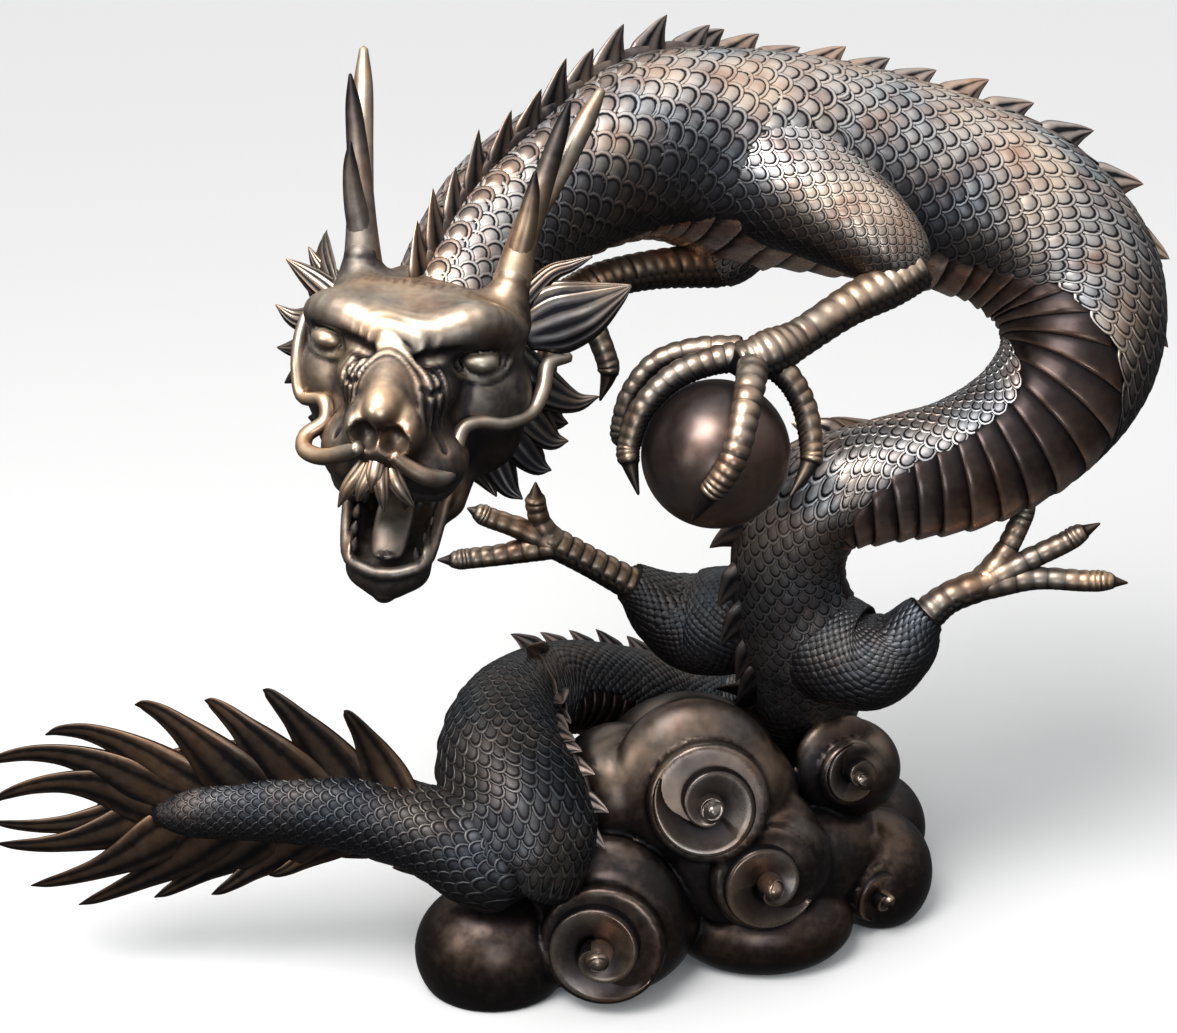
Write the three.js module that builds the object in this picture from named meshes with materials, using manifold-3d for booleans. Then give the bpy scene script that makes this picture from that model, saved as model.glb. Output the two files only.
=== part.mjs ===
// A cast bronze dragon that rears over a bank of scroll clouds and grips a pearl in one forefoot.
// Millimetres, +Z up. The dragon faces -Y, and its tail streams towards -X.
// Three pieces: the dragon, the pearl in its claws, and the cloud base that carries both.
import * as THREE from "three";
import { mergeVertices } from "three/addons/utils/BufferGeometryUtils.js";
import Module from "manifold-3d";

const wasm = await Module();
wasm.setup();

// Driving dimensions.
const FIT_GAP = 0.4; // clearance where two pieces touch
const TRUNK_SIDES = 12;
const TRUNK_RINGS = 36;
const TAIL_RINGS = 8;
const FIN_THICKNESS = 9;
const FIN_LEAN = 0.35; // how far a fin's tip trails towards the tail, as a share of its height
const BLADE_THICKNESS = 0.32; // of a tail blade, as a share of its breadth
const PEARL_AT = [147, -190, 712];
const PEARL_RADIUS = 87;
const HEAD_AT = [-188, -345, 903]; // midway between the eyes
const HEAD_TURN = -10; // degrees about Z, then the lift of the snout, then the roll to one side
const HEAD_LIFT = 6;
const HEAD_ROLL = 5.5;
const GROUND = -12; // where the clouds are cut off flat

// The trunk from the back of the skull to the foot of the coil: place, radius, and where the spine faces.
const TRUNK = [
  { at: [-152, -240, 904], radius: 70, spine: [-0.2, 0.05, 0.95] }, // back of the skull
  { at: [-100, -134, 960], radius: 82, spine: [-0.4, -0.65, 0.6] }, // nape
  { at: [-27, -50, 997], radius: 90, spine: [-0.5, -0.5, 0.7] }, // neck
  { at: [73, 30, 1015], radius: 108, spine: [-0.3, 0.05, 0.9] }, // withers
  { at: [190, 80, 991], radius: 124, spine: [-0.1, 0.5, 0.8] }, // shoulders
  { at: [309, 105, 965], radius: 127, spine: [0.05, 0.55, 0.8] }, // back
  { at: [425, 110, 939], radius: 119, spine: [0.22, 0.5, 0.85] }, // crown of the arch
  { at: [533, 95, 901], radius: 112, spine: [0.62, 0.35, 0.72] }, // loin
  { at: [600, 60, 834], radius: 106, spine: [0.88, 0.45, 0.3] }, // top of the turn
  { at: [604, 15, 754], radius: 96, spine: [0.7, 0.75, 0.0] }, // foot of the turn
  { at: [550, -25, 686], radius: 87, spine: [0.2, 0.95, 0.2] },
  { at: [463, -50, 641], radius: 81, spine: [-0.1, 0.95, 0.2] }, // under the arch
  { at: [364, -62, 622], radius: 75, spine: [-0.3, 0.85, 0.4] },
  { at: [286, -68, 600], radius: 70, spine: [-0.7, 0.2, 0.6] }, // bend below the pearl
  { at: [252, -66, 535], radius: 67, spine: [-1.0, -0.1, 0.2] },
  { at: [257, -58, 454], radius: 68, spine: [-1.0, -0.3, 0.0] }, // column
  { at: [281, -35, 355], radius: 72, spine: [-0.9, -0.4, 0.0] }, // hips
  { at: [280, 20, 262], radius: 71, spine: [-0.8, -0.3, 0.4] },
  { at: [216, 85, 200], radius: 68, spine: [-0.4, 0.2, 0.8] }, // behind the clouds
  { at: [127, 110, 200], radius: 66, spine: [-0.1, 0.4, 0.9] },
  { at: [43, 85, 239], radius: 63, spine: [0.0, 0.5, 0.9] },
  { at: [-38, 30, 279], radius: 61, spine: [0.0, 0.5, 0.9] },
  { at: [-98, -50, 285], radius: 70, spine: [0.3, 0.2, 0.9] }, // top of the coil
  { at: [-106, -135, 262], radius: 86, spine: [0.8, -0.2, 0.5] },
  { at: [-80, -198, 222], radius: 88, spine: [0.95, -0.3, 0.1] }, // coil
  { at: [-70, -232, 172], radius: 70, spine: [0.95, -0.3, -0.1] },
  { at: [-78, -240, 150], radius: 40, spine: [0.95, -0.3, -0.1] }, // foot of the coil
];
const TAIL = [
  { at: [-75, -238, 190], radius: 52, spine: [0, 0, -1] }, // inside the coil
  { at: [-128, -242, 186], radius: 58, spine: [0, 0, -1] },
  { at: [-184, -230, 214], radius: 54, spine: [0, 0, -1] }, // root
  { at: [-250, -216, 233], radius: 51, spine: [0, 0, -1] },
  { at: [-336, -214, 248], radius: 48, spine: [0, 0, -1] },
  { at: [-424, -220, 252], radius: 43, spine: [0, 0, -1] },
  { at: [-491, -225, 249], radius: 34, spine: [0, 0, -1] },
  { at: [-533, -228, 247], radius: 15, spine: [0, 0, -1] }, // tip of the scaled part
];

// Flame blades of the tail fan as [rootX, rootZ, tipX, tipZ, breadth].
const BLADES = [
  [-236, 262, -294, 392, 26],
  [-292, 270, -391, 417, 32],
  [-348, 272, -462, 402, 34],
  [-410, 272, -547, 395, 34],
  [-466, 265, -660, 352, 32],
  [-500, 257, -740, 312, 30],
  [-515, 249, -735, 262, 30],
  [-517, 246, -742, 232, 26],
  [-515, 242, -738, 196, 30],
  [-494, 235, -701, 134, 30],
  [-455, 225, -644, 104, 30],
  [-412, 215, -547, 117, 30],
  [-362, 210, -473, 127, 28],
  [-312, 208, -399, 154, 24],
];

// Limbs as [x, y, z, radius] stations from the body outwards.
const NEAR_UPPER_ARM = [
  [190, 20, 1000, 66],
  [240, -8, 976, 70],
  [318, -38, 938, 58],
  [372, -58, 898, 36],
];
const NEAR_FOREARM = [
  [380, -58, 900, 30],
  [350, -72, 878, 28],
  [300, -98, 857, 23],
  [243, -138, 830, 22],
  [200, -165, 823, 28],
  [170, -170, 818, 18],
];
const FAR_UPPER_ARM = [
  [190, 100, 930, 60],
  [165, 80, 895, 50],
  [150, 62, 860, 33],
];
const FAR_FOREARM = [
  [160, 62, 856, 30],
  [80, 10, 868, 23],
  [14, -40, 870, 22],
  [-20, -66, 858, 24],
];
const FAR_TOES = [
  [[-15, -60, 858, 15], [5, -66, 825, 14], [24, -75, 778, 13], [14, -88, 738, 5]],
  [[-15, -60, 858, 15], [-40, -100, 830, 13], [-48, -120, 790, 12], [-40, -118, 755, 5]],
  [[-15, -60, 858, 15], [-35, -30, 825, 13], [-45, -20, 785, 11], [-40, -30, 752, 5]],
];
const NEAR_THIGH = [
  [268, -55, 420, 62],
  [310, -80, 400, 70],
  [358, -106, 398, 70],
  [396, -116, 428, 46],
  [412, -120, 468, 22],
];
const NEAR_SHIN = [
  [405, -119, 450, 24],
  [440, -110, 480, 19],
  [505, -92, 500, 20],
];
const NEAR_TOES = [
  [[490, -95, 495, 18], [525, -76, 548, 15], [549, -60, 607, 9]],
  [[490, -95, 495, 18], [560, -92, 538, 15], [622, -90, 574, 10]],
  [[490, -95, 495, 18], [580, -106, 508, 14], [657, -120, 509, 9]],
];
const FAR_THIGH = [
  [228, -28, 436, 60],
  [192, 0, 392, 74],
  [138, 24, 380, 74],
  [98, 25, 402, 54],
  [66, 20, 430, 24],
];
const FAR_SHIN = [
  [85, 22, 418, 26],
  [0, 12, 477, 20],
  [-58, 10, 509, 20],
];
const FAR_HIND_TOES = [
  [[-45, 10, 500, 18], [-64, 10, 540, 14], [-67, 10, 582, 8]],
  [[-45, 10, 500, 18], [-112, 5, 534, 14], [-150, 0, 553, 8]],
  [[-45, 10, 500, 18], [-126, -4, 485, 14], [-189, -10, 486, 9]],
];
// Toes that wrap the pearl, measured from its centre.
const PEARL_TOES = [
  [[46, 20, 112, 18], [27, -66, 74, 16], [7, -96, 30, 14], [-30, -88, -42, 5]],
  [[22, 35, 110, 17], [-56, 11, 84, 15], [-98, -13, 22, 13], [-92, -43, -30, 5]],
  [[4, 44, 116, 16], [-81, 42, 92, 14], [-108, 22, 30, 12], [-98, 20, -20, 5]],
  [[70, 30, 104, 17], [106, 10, 62, 15], [108, -10, 3, 13], [84, -42, -34, 5]],
  [[60, 50, 104, 16], [50, 92, 62, 14], [34, 104, 0, 12], [20, 90, -44, 5]],
];

// Cloud lobes as [x, y, z, radius in X, in Y, in Z].
const LOBES = [
  [132, -60, 215, 116, 100, 92],
  [148, -126, 204, 122, 88, 110],
  [226, -170, 140, 86, 62, 80],
  [30, -190, 70, 112, 94, 104],
  [-106, -230, 24, 102, 84, 86],
  [344, -50, 204, 66, 66, 64],
  [388, -54, 44, 74, 76, 84],
  [396, 44, 52, 70, 82, 72],
  [240, -152, 30, 86, 78, 62],
  [-70, -80, 60, 100, 116, 92],
  [60, 70, 70, 124, 124, 88],
  [250, 100, 66, 150, 116, 88],
  [190, -50, 90, 200, 150, 110],
];
// Scroll discs on the clouds as [x, y, z, radius, turn about Z in degrees, tilt in degrees].
const SCROLLS = [
  [150, -214, 250, 72, 4, -20],
  [224, -230, 148, 66, 12, -12],
  [16, -280, 82, 74, -8, -12],
  [342, -110, 228, 42, 24, -10],
  [384, -124, 54, 40, 34, 0],
  [330, 174, 92, 44, 160, -10],
  [60, 178, 78, 56, 184, -10],
];
const SCROLL_RISE = 13;

const bronze = (name, colour, roughness) =>
  new THREE.MeshStandardMaterial({ name, color: colour, roughness, metalness: 1.0 });
const scaledBronze = bronze("dark_bronze", 0x4a3b30, 0.45);
const rubbedBronze = bronze("rubbed_bronze", 0x7d6248, 0.3);
const cloudBronze = bronze("brown_bronze", 0x46342a, 0.35);

// A closed geometry as a manifold solid.
function solid(geometry) {
  const bare = geometry.clone();
  bare.deleteAttribute("normal");
  bare.deleteAttribute("uv");
  const merged = mergeVertices(bare, 1e-3);
  const mesh = new wasm.Mesh({
    numProp: 3,
    vertProperties: merged.attributes.position.array,
    triVerts: new Uint32Array(merged.index.array),
  });
  return new wasm.Manifold(mesh);
}

function meshOf(manifold, name, material) {
  const { vertProperties, triVerts } = manifold.getMesh();
  const geometry = new THREE.BufferGeometry();
  geometry.setAttribute("position", new THREE.BufferAttribute(new Float32Array(vertProperties), 3));
  geometry.setIndex(new THREE.BufferAttribute(new Uint32Array(triVerts), 1));
  geometry.computeVertexNormals();
  const mesh = new THREE.Mesh(geometry, material);
  mesh.name = name;
  return mesh;
}

const vector = (list) => new THREE.Vector3(...list);
const joined = (solids) => solids.reduce((whole, next) => whole.add(next));

// A smooth path through stations, with the radius and the spine's direction carried along it.
function backbone(stations) {
  const curve = new THREE.CatmullRomCurve3(stations.map((s) => vector(s.at)), false, "centripetal");
  const last = stations.length - 1;
  const blend = (t, read) => {
    const place = Math.min(Math.max(t, 0), 1) * last;
    const i = Math.min(Math.floor(place), last - 1);
    return read(stations[i], stations[i + 1], place - i);
  };
  const frame = (t) => {
    const along = curve.getTangent(t).normalize();
    const hint = blend(t, (a, b, k) => vector(a.spine).lerp(vector(b.spine), k));
    const spine = hint.addScaledVector(along, -hint.dot(along)).normalize();
    return { at: curve.getPoint(t), along, spine, across: new THREE.Vector3().crossVectors(along, spine) };
  };
  return { curve, last, frame, radius: (t) => blend(t, (a, b, k) => a.radius + (b.radius - a.radius) * k) };
}

// A closed tube over a backbone: a capped cylinder, bent to the path and swollen to its radius.
function tube(stations, sides, rings, flat = 1, grow = 0) {
  const path = backbone(stations);
  const cylinder = new THREE.CylinderGeometry(1, 1, 1, sides, rings);
  const points = cylinder.attributes.position;
  for (let i = 0; i < points.count; i++) {
    const t = 0.5 - points.getY(i);
    const { at, spine, across } = path.frame(t);
    const radius = path.radius(t) + grow;
    at.addScaledVector(across, -points.getX(i) * radius * flat);
    at.addScaledVector(spine, points.getZ(i) * radius);
    points.setXYZ(i, at.x, at.y, at.z);
  }
  return solid(cylinder);
}

// A tapering limb through [x, y, z, radius] stations. Flat limbs are thin along the given way.
function limb(stations, { sides = 7, rings = 4, flat = 1, spine = [0.3, -0.2, 1], grow = 0 } = {}) {
  const placed = stations.map(([x, y, z, radius]) => ({ at: [x, y, z], radius, spine }));
  return tube(placed, sides, rings, flat, grow);
}

function ball([x, y, z], [rx, ry, rz], wide = 8, high = 6, grow = 0) {
  const sphere = new THREE.SphereGeometry(1, wide, high).rotateX(Math.PI / 2);
  return solid(sphere.scale(rx + grow, ry + grow, rz + grow).translate(x, y, z));
}

// A row of back fins between two stations of a backbone.
function fins(stations, from, to, pitch, height, grow = 0) {
  const path = backbone(stations);
  const made = [];
  let t = from / path.last;
  while (t < to / path.last) {
    const { at, along, spine, across } = path.frame(t);
    const root = path.radius(t) * 0.88;
    const reach = height + path.radius(t) - root + 3 * grow;
    const cone = new THREE.ConeGeometry(0.5, 1, 4, 1).rotateY(Math.PI / 4).scale(Math.SQRT2, 1, Math.SQRT2);
    cone.translate(0, 0.5, 0);
    const points = cone.attributes.position;
    for (let i = 0; i < points.count; i++) {
      const up = points.getY(i);
      const place = at.clone().addScaledVector(spine, root + up * reach);
      place.addScaledVector(along, points.getX(i) * (pitch * 0.94 + 3 * grow) + up * reach * FIN_LEAN);
      place.addScaledVector(across, points.getZ(i) * (FIN_THICKNESS + 3 * grow));
      points.setXYZ(i, place.x, place.y, place.z);
    }
    made.push(solid(cone));
    t += pitch / arcPerUnit(path, t);
  }
  return made;
}

// Millimetres of path for each unit of t, near t.
function arcPerUnit(path, t) {
  const step = 0.002;
  return path.curve.getPoint(t + step).distanceTo(path.curve.getPoint(t - step)) / (2 * step);
}

// The trunk, the tail's stem and the thighs: the parts that lie in the clouds.
function lyingForms(grow) {
  return joined([
    tube(TRUNK, TRUNK_SIDES, TRUNK_RINGS, 1, grow),
    tube(TAIL, 10, TAIL_RINGS, 1, grow),
    limb(FAR_THIGH, { sides: 8, grow }),
    limb(NEAR_THIGH, { sides: 8, grow }),
    ...fins(TRUNK, 9.4, 17.4, 46, 34, grow),
    ...fins(TRUNK, 18.9, 22, 38, 24, grow),
    ...fins(TAIL, 1.7, 4, 40, 20, grow),
  ]);
}

// A flame blade of the tail fan: flat, broad at the root, swept back to a point.
function blade([rootX, rootZ, tipX, tipZ, breadth]) {
  const sweep = Math.sign(tipZ - rootZ) * 0.12 * Math.hypot(tipX - rootX, tipZ - rootZ);
  const at = (k, lift) => [rootX + (tipX - rootX) * k, -222, rootZ + (tipZ - rootZ) * k + lift];
  const stations = [
    [...at(-0.12, 0), breadth * 0.9],
    [...at(0.3, sweep * 0.7), breadth],
    [...at(0.7, sweep), breadth * 0.6],
    [...at(1, 0), 4],
  ];
  return limb(stations, { sides: 4, rings: 2, flat: BLADE_THICKNESS, spine: [0.2, 0, 1] });
}

// The head, modelled looking along -Y with its eye line on the X axis, then turned to its place.
function head() {
  const both = (make) => [make(-1), make(1)];
  const face = [0, -1, 0.2];
  const forms = [
    ball([0, 45, -8], [118, 114, 88], 10, 6), // skull
    ball([0, -20, 40], [92, 50, 44]), // forehead
    limb([[0, -30, 0, 56], [0, -95, -12, 42], [0, -150, -26, 32]], { sides: 7, rings: 2, spine: face }),
    ball([2, -158, -24], [27, 24, 25], 6, 4), // nose tip
    ball([0, -92, -72], [74, 56, 42]), // upper jaw
    ball([0, 40, -120], [76, 66, 84]), // throat
    ball([18, -40, -214], [50, 66, 30], 8, 5), // floor of the lower jaw
    ball([19, -74, -240], [34, 30, 27], 6, 4), // chin
    limb(
      [[4, 10, -150, 26], [8, -50, -164, 25], [12, -92, -190, 19]],
      { sides: 5, rings: 2, flat: 1.1, spine: [0, 0.3, 1] },
    ), // tongue
    limb([[-26, -98, -228, 13], [22, -112, -234, 13], [70, -98, -222, 13]], { sides: 5, rings: 2 }),
  ];
  for (const side of [-1, 1]) {
    const narrow = side < 0 ? 0.92 : 1; // the face is a little fuller on the dragon's left
    const put = (list) => list.map(([x, y, z, radius]) => [side * narrow * x, y, z, radius]);
    forms.push(
      limb(put([[-4, -64, 30, 15], [64, -62, 40, 18], [130, -18, 52, 14]]), { sides: 5, rings: 3 }), // brow
      ball([side * 83, -36, 8], [24, 20, 20], 6, 4), // eye
      ball([side * 86, -6, -44], [46, 66, 58], 7, 5), // cheek
      ball([side * 24, -150, -50], [19, 16, 15], 5, 4), // nostril
      limb(
        [[side * 56 + 8, 20, -112, 22], [side * 52 + 14, -45, -168, 18], [side * 46 + 22, -98, -222, 14]],
        { sides: 5, rings: 3 },
      ), // jaw
      limb(
        put([[9, -136, -84, 10], [52, -104, -114, 12], [76, -72, -106, 12], [80, -56, -70, 11]]),
        { sides: 4 },
      ), // whisker, from the nose to the corner of the mouth
      limb(
        put([[78, -58, -74, 11], [128, -24, -62, 10], [140, 0, -29, 10], [140, 24, 4, 7]]),
        { sides: 4, rings: 3 },
      ), // whisker, out over the cheek
      // tuft
      limb(put([[6, -124, -78, 12], [14, -142, -98, 9], [22, -138, -128, 3]]), { sides: 4, rings: 2 }),
    );
  }
  // The ears and mane: spread on the dragon's left, swept back on its right.
  const leaves = [
    [[108, 40, 26, 26], [155, 56, 46, 32], [190, 66, 64, 22], [217, 70, 83, 4]],
    [[-104, 50, 26, 24], [-132, 90, 44, 28], [-146, 140, 56, 18], [-150, 190, 66, 4]],
    [[100, 40, -20, 26], [155, 56, -32, 20], [192, 70, -43, 4]],
    [[95, 40, -60, 28], [138, 55, -80, 20], [166, 60, -95, 4]],
    [[90, 40, -90, 28], [130, 50, -112, 20], [155, 52, -129, 4]],
    [[76, 36, -120, 26], [106, 42, -146, 17], [128, 40, -165, 4]],
    [[-98, 40, 30, 22], [-134, 62, 48, 16], [-156, 56, 58, 4]],
    [[-98, 40, 0, 26], [-138, 66, 8, 18], [-158, 60, 20, 4]],
    [[-95, 50, -60, 28], [-126, 90, -84, 20], [-140, 140, -99, 4]],
    [[-85, 50, -100, 28], [-112, 80, -124, 20], [-128, 120, -142, 4]],
  ];
  forms.push(...leaves.map((leaf) => limb(leaf, { sides: 4, rings: 2, flat: 0.4, spine: [0, -0.3, 1] })));
  // Antlers: a beam with a front tine, a tall tine and a rear tine.
  const antlers = [
    [[-90, 40, 40, 30], [-100, 62, 110, 20], [-107, 88, 190, 15], [-116, 110, 258, 6]],
    [[-99, 58, 96, 17], [-98, 58, 150, 13], [-97, 60, 194, 5]],
    [[-104, 80, 130, 15], [-114, 130, 210, 13], [-119, 170, 281, 7]],
    [[80, 40, 40, 30], [94, 62, 110, 20], [108, 88, 190, 15], [123, 110, 262, 6]],
    [[92, 58, 96, 17], [98, 58, 150, 13], [103, 60, 191, 5]],
    [[98, 80, 130, 15], [126, 130, 210, 13], [147, 170, 271, 7]],
  ];
  forms.push(...antlers.map((tine) => limb(tine, { sides: 4, rings: 2, spine: [0, -1, 0] })));
  const turn = new THREE.Euler(
    -THREE.MathUtils.degToRad(HEAD_LIFT),
    THREE.MathUtils.degToRad(HEAD_ROLL),
    THREE.MathUtils.degToRad(HEAD_TURN),
    "ZXY",
  );
  const matrix = new THREE.Matrix4().makeRotationFromEuler(turn).setPosition(...HEAD_AT);
  return joined(forms).transform(matrix.elements);
}

function dragon() {
  const aroundPearl = (list) =>
    list.map(([x, y, z, radius]) => [PEARL_AT[0] + x, PEARL_AT[1] + y, PEARL_AT[2] + z, radius]);
  const toe = { sides: 5, rings: 2, spine: [0.3, -1, 0.2] };
  const forms = [
    lyingForms(0),
    ...fins(TRUNK, 0.4, 9.4, 50, 42),
    head(),
    limb(NEAR_UPPER_ARM, { sides: 8 }),
    limb(NEAR_FOREARM, { sides: 6, rings: 6 }),
    limb(FAR_UPPER_ARM, { sides: 8, rings: 3 }),
    limb(FAR_FOREARM, { sides: 6 }),
    limb(NEAR_SHIN, { sides: 6, rings: 3 }),
    limb(FAR_SHIN, { sides: 6, rings: 3 }),
    ...[...FAR_TOES, ...NEAR_TOES, ...FAR_HIND_TOES].map((stations) => limb(stations, toe)),
    ...PEARL_TOES.map((stations) => limb(aroundPearl(stations), { ...toe, rings: 4 })),
    ...BLADES.map(blade),
  ];
  return joined(forms).subtract(ball(PEARL_AT, [PEARL_RADIUS, PEARL_RADIUS, PEARL_RADIUS], 16, 8, FIT_GAP));
}

function cloudBase() {
  const discs = SCROLLS.map(([x, y, z, radius, turn, tilt]) => {
    const disc = new THREE.CylinderGeometry(radius * 1.15, radius * 0.9, SCROLL_RISE * 4, 9, 1);
    disc.translate(0, SCROLL_RISE, 0);
    disc.rotateX(THREE.MathUtils.degToRad(tilt));
    disc.rotateZ(THREE.MathUtils.degToRad(turn));
    return solid(disc.translate(x, y, z));
  });
  const lobes = LOBES.map(([x, y, z, rx, ry, rz]) => ball([x, y, z], [rx, ry, rz], 8, 6));
  const slab = solid(new THREE.BoxGeometry(3000, 3000, 800).translate(0, 0, GROUND - 400));
  const cut = joined([...lobes, ...discs]).subtract(slab).subtract(lyingForms(FIT_GAP));
  return cut.decompose().sort((a, b) => b.volume() - a.volume())[0];
}

const pearl = ball(PEARL_AT, [PEARL_RADIUS, PEARL_RADIUS, PEARL_RADIUS], 16, 8);
const group = new THREE.Group();
group.add(meshOf(dragon(), "dragon", scaledBronze));
group.add(meshOf(pearl, "pearl", rubbedBronze));
group.add(meshOf(cloudBase(), "cloud_base", cloudBronze));

// The origin is at the middle of the footprint, on the ground.
const size = new THREE.Box3().setFromObject(group);
const middle = size.getCenter(new THREE.Vector3());
group.position.set(-middle.x, -middle.y, -size.min.z);
group.updateMatrixWorld(true);

export default group;
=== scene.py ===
"""A cast bronze dragon on scroll clouds, gripping a pearl.

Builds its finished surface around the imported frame.
"""

import itertools
import math

import bpy
import numpy as np
from mathutils import Matrix, Vector


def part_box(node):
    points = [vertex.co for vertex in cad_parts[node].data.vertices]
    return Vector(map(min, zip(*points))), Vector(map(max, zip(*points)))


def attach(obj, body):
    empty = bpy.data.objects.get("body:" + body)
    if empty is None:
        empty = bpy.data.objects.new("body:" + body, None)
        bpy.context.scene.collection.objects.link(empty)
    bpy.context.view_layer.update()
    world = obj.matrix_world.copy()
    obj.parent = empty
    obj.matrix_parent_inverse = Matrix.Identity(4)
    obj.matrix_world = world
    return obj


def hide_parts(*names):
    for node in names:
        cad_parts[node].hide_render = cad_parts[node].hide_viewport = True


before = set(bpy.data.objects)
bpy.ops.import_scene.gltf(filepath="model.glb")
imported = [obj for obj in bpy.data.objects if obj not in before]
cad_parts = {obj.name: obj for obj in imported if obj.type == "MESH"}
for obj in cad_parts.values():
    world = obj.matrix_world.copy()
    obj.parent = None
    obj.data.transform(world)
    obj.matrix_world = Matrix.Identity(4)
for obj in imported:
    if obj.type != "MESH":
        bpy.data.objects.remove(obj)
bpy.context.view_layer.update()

bl_info = {
    "name": "Bronze Dragon on Clouds",
    "version": (1, 0, 0),
    "blender": (4, 5, 0),
    "location": "3D View > Sidebar > Dragon",
    "description": "Builds a cast bronze dragon, its pearl and its cloud base around the packed frame",
    "category": "Add Mesh",
}

MM = 0.001

# ---------------------------------------------------------------- sizes of the form, in millimetres
PEARL_AT = (147, -190, 712)
HEAD_AT = (-188, -345, 903)
HEAD_TURN, HEAD_LIFT, HEAD_ROLL = -10.0, 6.0, 5.5

# The trunk: place, radius, the way the spine faces, and half the angle that the belly plates take up.
TRUNK = [
    (-160, -268, 895, 66, (-0.2, 0.05, 0.95), 40),
    (-100, -134, 960, 82, (-0.4, -0.65, 0.6), 40),
    (-27, -50, 997, 90, (-0.5, -0.5, 0.7), 40),
    (73, 30, 1015, 108, (-0.3, 0.05, 0.9), 40),
    (190, 80, 991, 124, (-0.1, 0.5, 0.8), 38),
    (309, 105, 965, 127, (0.05, 0.55, 0.8), 38),
    (425, 110, 939, 119, (0.22, 0.5, 0.85), 40),
    (533, 95, 901, 112, (0.62, 0.35, 0.72), 46),
    (600, 60, 834, 106, (0.88, 0.45, 0.3), 52),
    (604, 15, 754, 96, (0.7, 0.75, 0.0), 58),
    (550, -25, 686, 87, (0.2, 0.95, 0.2), 62),
    (463, -50, 641, 81, (-0.1, 0.95, 0.2), 62),
    (364, -62, 622, 75, (-0.3, 0.85, 0.4), 56),
    (286, -68, 600, 70, (-0.7, 0.2, 0.6), 46),
    (252, -66, 535, 67, (-1.0, -0.1, 0.2), 40),
    (257, -58, 454, 68, (-1.0, -0.3, 0.0), 40),
    (281, -35, 355, 72, (-0.9, -0.4, 0.0), 40),
    (280, 20, 262, 71, (-0.8, -0.3, 0.4), 45),
    (216, 85, 200, 68, (-0.4, 0.2, 0.8), 55),
    (127, 110, 200, 66, (-0.1, 0.4, 0.9), 55),
    (43, 85, 239, 63, (0.0, 0.8, 0.6), 55),
    (-38, 30, 279, 61, (0.25, 0.85, 0.2), 58),
    (-98, -50, 285, 70, (0.75, 0.4, 0.3), 52),
    (-106, -135, 262, 86, (0.8, -0.2, 0.5), 42),
    (-80, -198, 222, 88, (0.95, -0.3, 0.1), 42),
    (-70, -232, 172, 70, (0.95, -0.3, -0.1), 42),
    (-78, -240, 150, 40, (0.95, -0.3, -0.1), 42),
]
TAIL = [
    (-30, -225, 215, 34, (0, 0, -1), 0),
    (-75, -236, 198, 50, (0, 0, -1), 0),
    (-128, -242, 186, 58, (0, 0, -1), 0),
    (-184, -230, 214, 54, (0, 0, -1), 0),
    (-250, -216, 233, 51, (0, 0, -1), 0),
    (-336, -214, 248, 48, (0, 0, -1), 0),
    (-424, -220, 252, 41, (0, 0, -1), 0),
    (-491, -225, 249, 32, (0, 0, -1), 0),
    (-536, -228, 247, 13, (0, 0, -1), 0),
]
UP_FRONT = (0.1, -0.6, 0.8)
NEAR_UPPER_ARM = [
    (190, 20, 1000, 66, UP_FRONT, 0),
    (240, -8, 976, 70, UP_FRONT, 0),
    (318, -38, 938, 58, UP_FRONT, 0),
    (366, -55, 904, 42, UP_FRONT, 0),
    (386, -62, 888, 24, UP_FRONT, 0),
]
FAR_UPPER_ARM = [
    (190, 100, 930, 60, UP_FRONT, 0),
    (174, 84, 893, 55, UP_FRONT, 0),
    (166, 68, 862, 44, UP_FRONT, 0),
    (156, 62, 838, 22, UP_FRONT, 0),
]
NEAR_THIGH = [
    (262, -54, 430, 48, UP_FRONT, 0),
    (306, -80, 402, 66, UP_FRONT, 0),
    (350, -104, 394, 64, UP_FRONT, 0),
    (388, -114, 420, 48, UP_FRONT, 0),
    (410, -116, 456, 31, UP_FRONT, 0),
    (430, -112, 476, 22, UP_FRONT, 0),
]
FAR_THIGH = [
    (248, -44, 436, 44, UP_FRONT, 0),
    (196, -4, 400, 68, UP_FRONT, 0),
    (142, 22, 382, 68, UP_FRONT, 0),
    (100, 25, 400, 52, UP_FRONT, 0),
    (66, 19, 432, 32, UP_FRONT, 0),
    (40, 15, 452, 22, UP_FRONT, 0),
]

# Rows of scales along the trunk: from and to station, scales round it, whether they are small,
# and how rubbed they are.
TRUNK_SCALES = [
    (0.02, 2.6, 18, False, 0.0),
    (2.6, 4.6, 22, False, 0.0),
    (4.6, 9.5, 26, False, 0.0),
    (9.5, 11.0, 25, False, 0.0),
    (11.0, 12.6, 23, False, 0.06),
    (12.6, 16.1, 20, False, 0.24),
    (16.1, 18.0, 26, True, 0.1),
    (18.0, 21.8, 30, True, 0.0),
    (21.8, 25.6, 27, False, 0.08),
]


# ---------------------------------------------------------------- curves and forms
def catmull(rows, per_span):
    """A smooth run of samples through the rows, and each sample's station number."""
    rows = np.asarray(rows, float)
    ends = np.vstack([2 * rows[0] - rows[1], rows, 2 * rows[-1] - rows[-2]])
    out, stations = [], []
    for i in range(len(rows) - 1):
        a, b, c, d = ends[i : i + 4]
        last = i == len(rows) - 2
        t = np.linspace(0, 1, per_span + 1)[: per_span + 1 if last else per_span, None]
        slope, bend, twist = c - a, 2 * a - 5 * b + 4 * c - d, 3 * b - a - 3 * c + d
        out.append(0.5 * (2 * b + slope * t + bend * t**2 + twist * t**3))
        stations.append(i + t[:, 0])
    return np.vstack(out), np.concatenate(stations)


def unit(v):
    return v / np.maximum(np.linalg.norm(v, axis=-1, keepdims=True), 1e-9)


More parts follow.
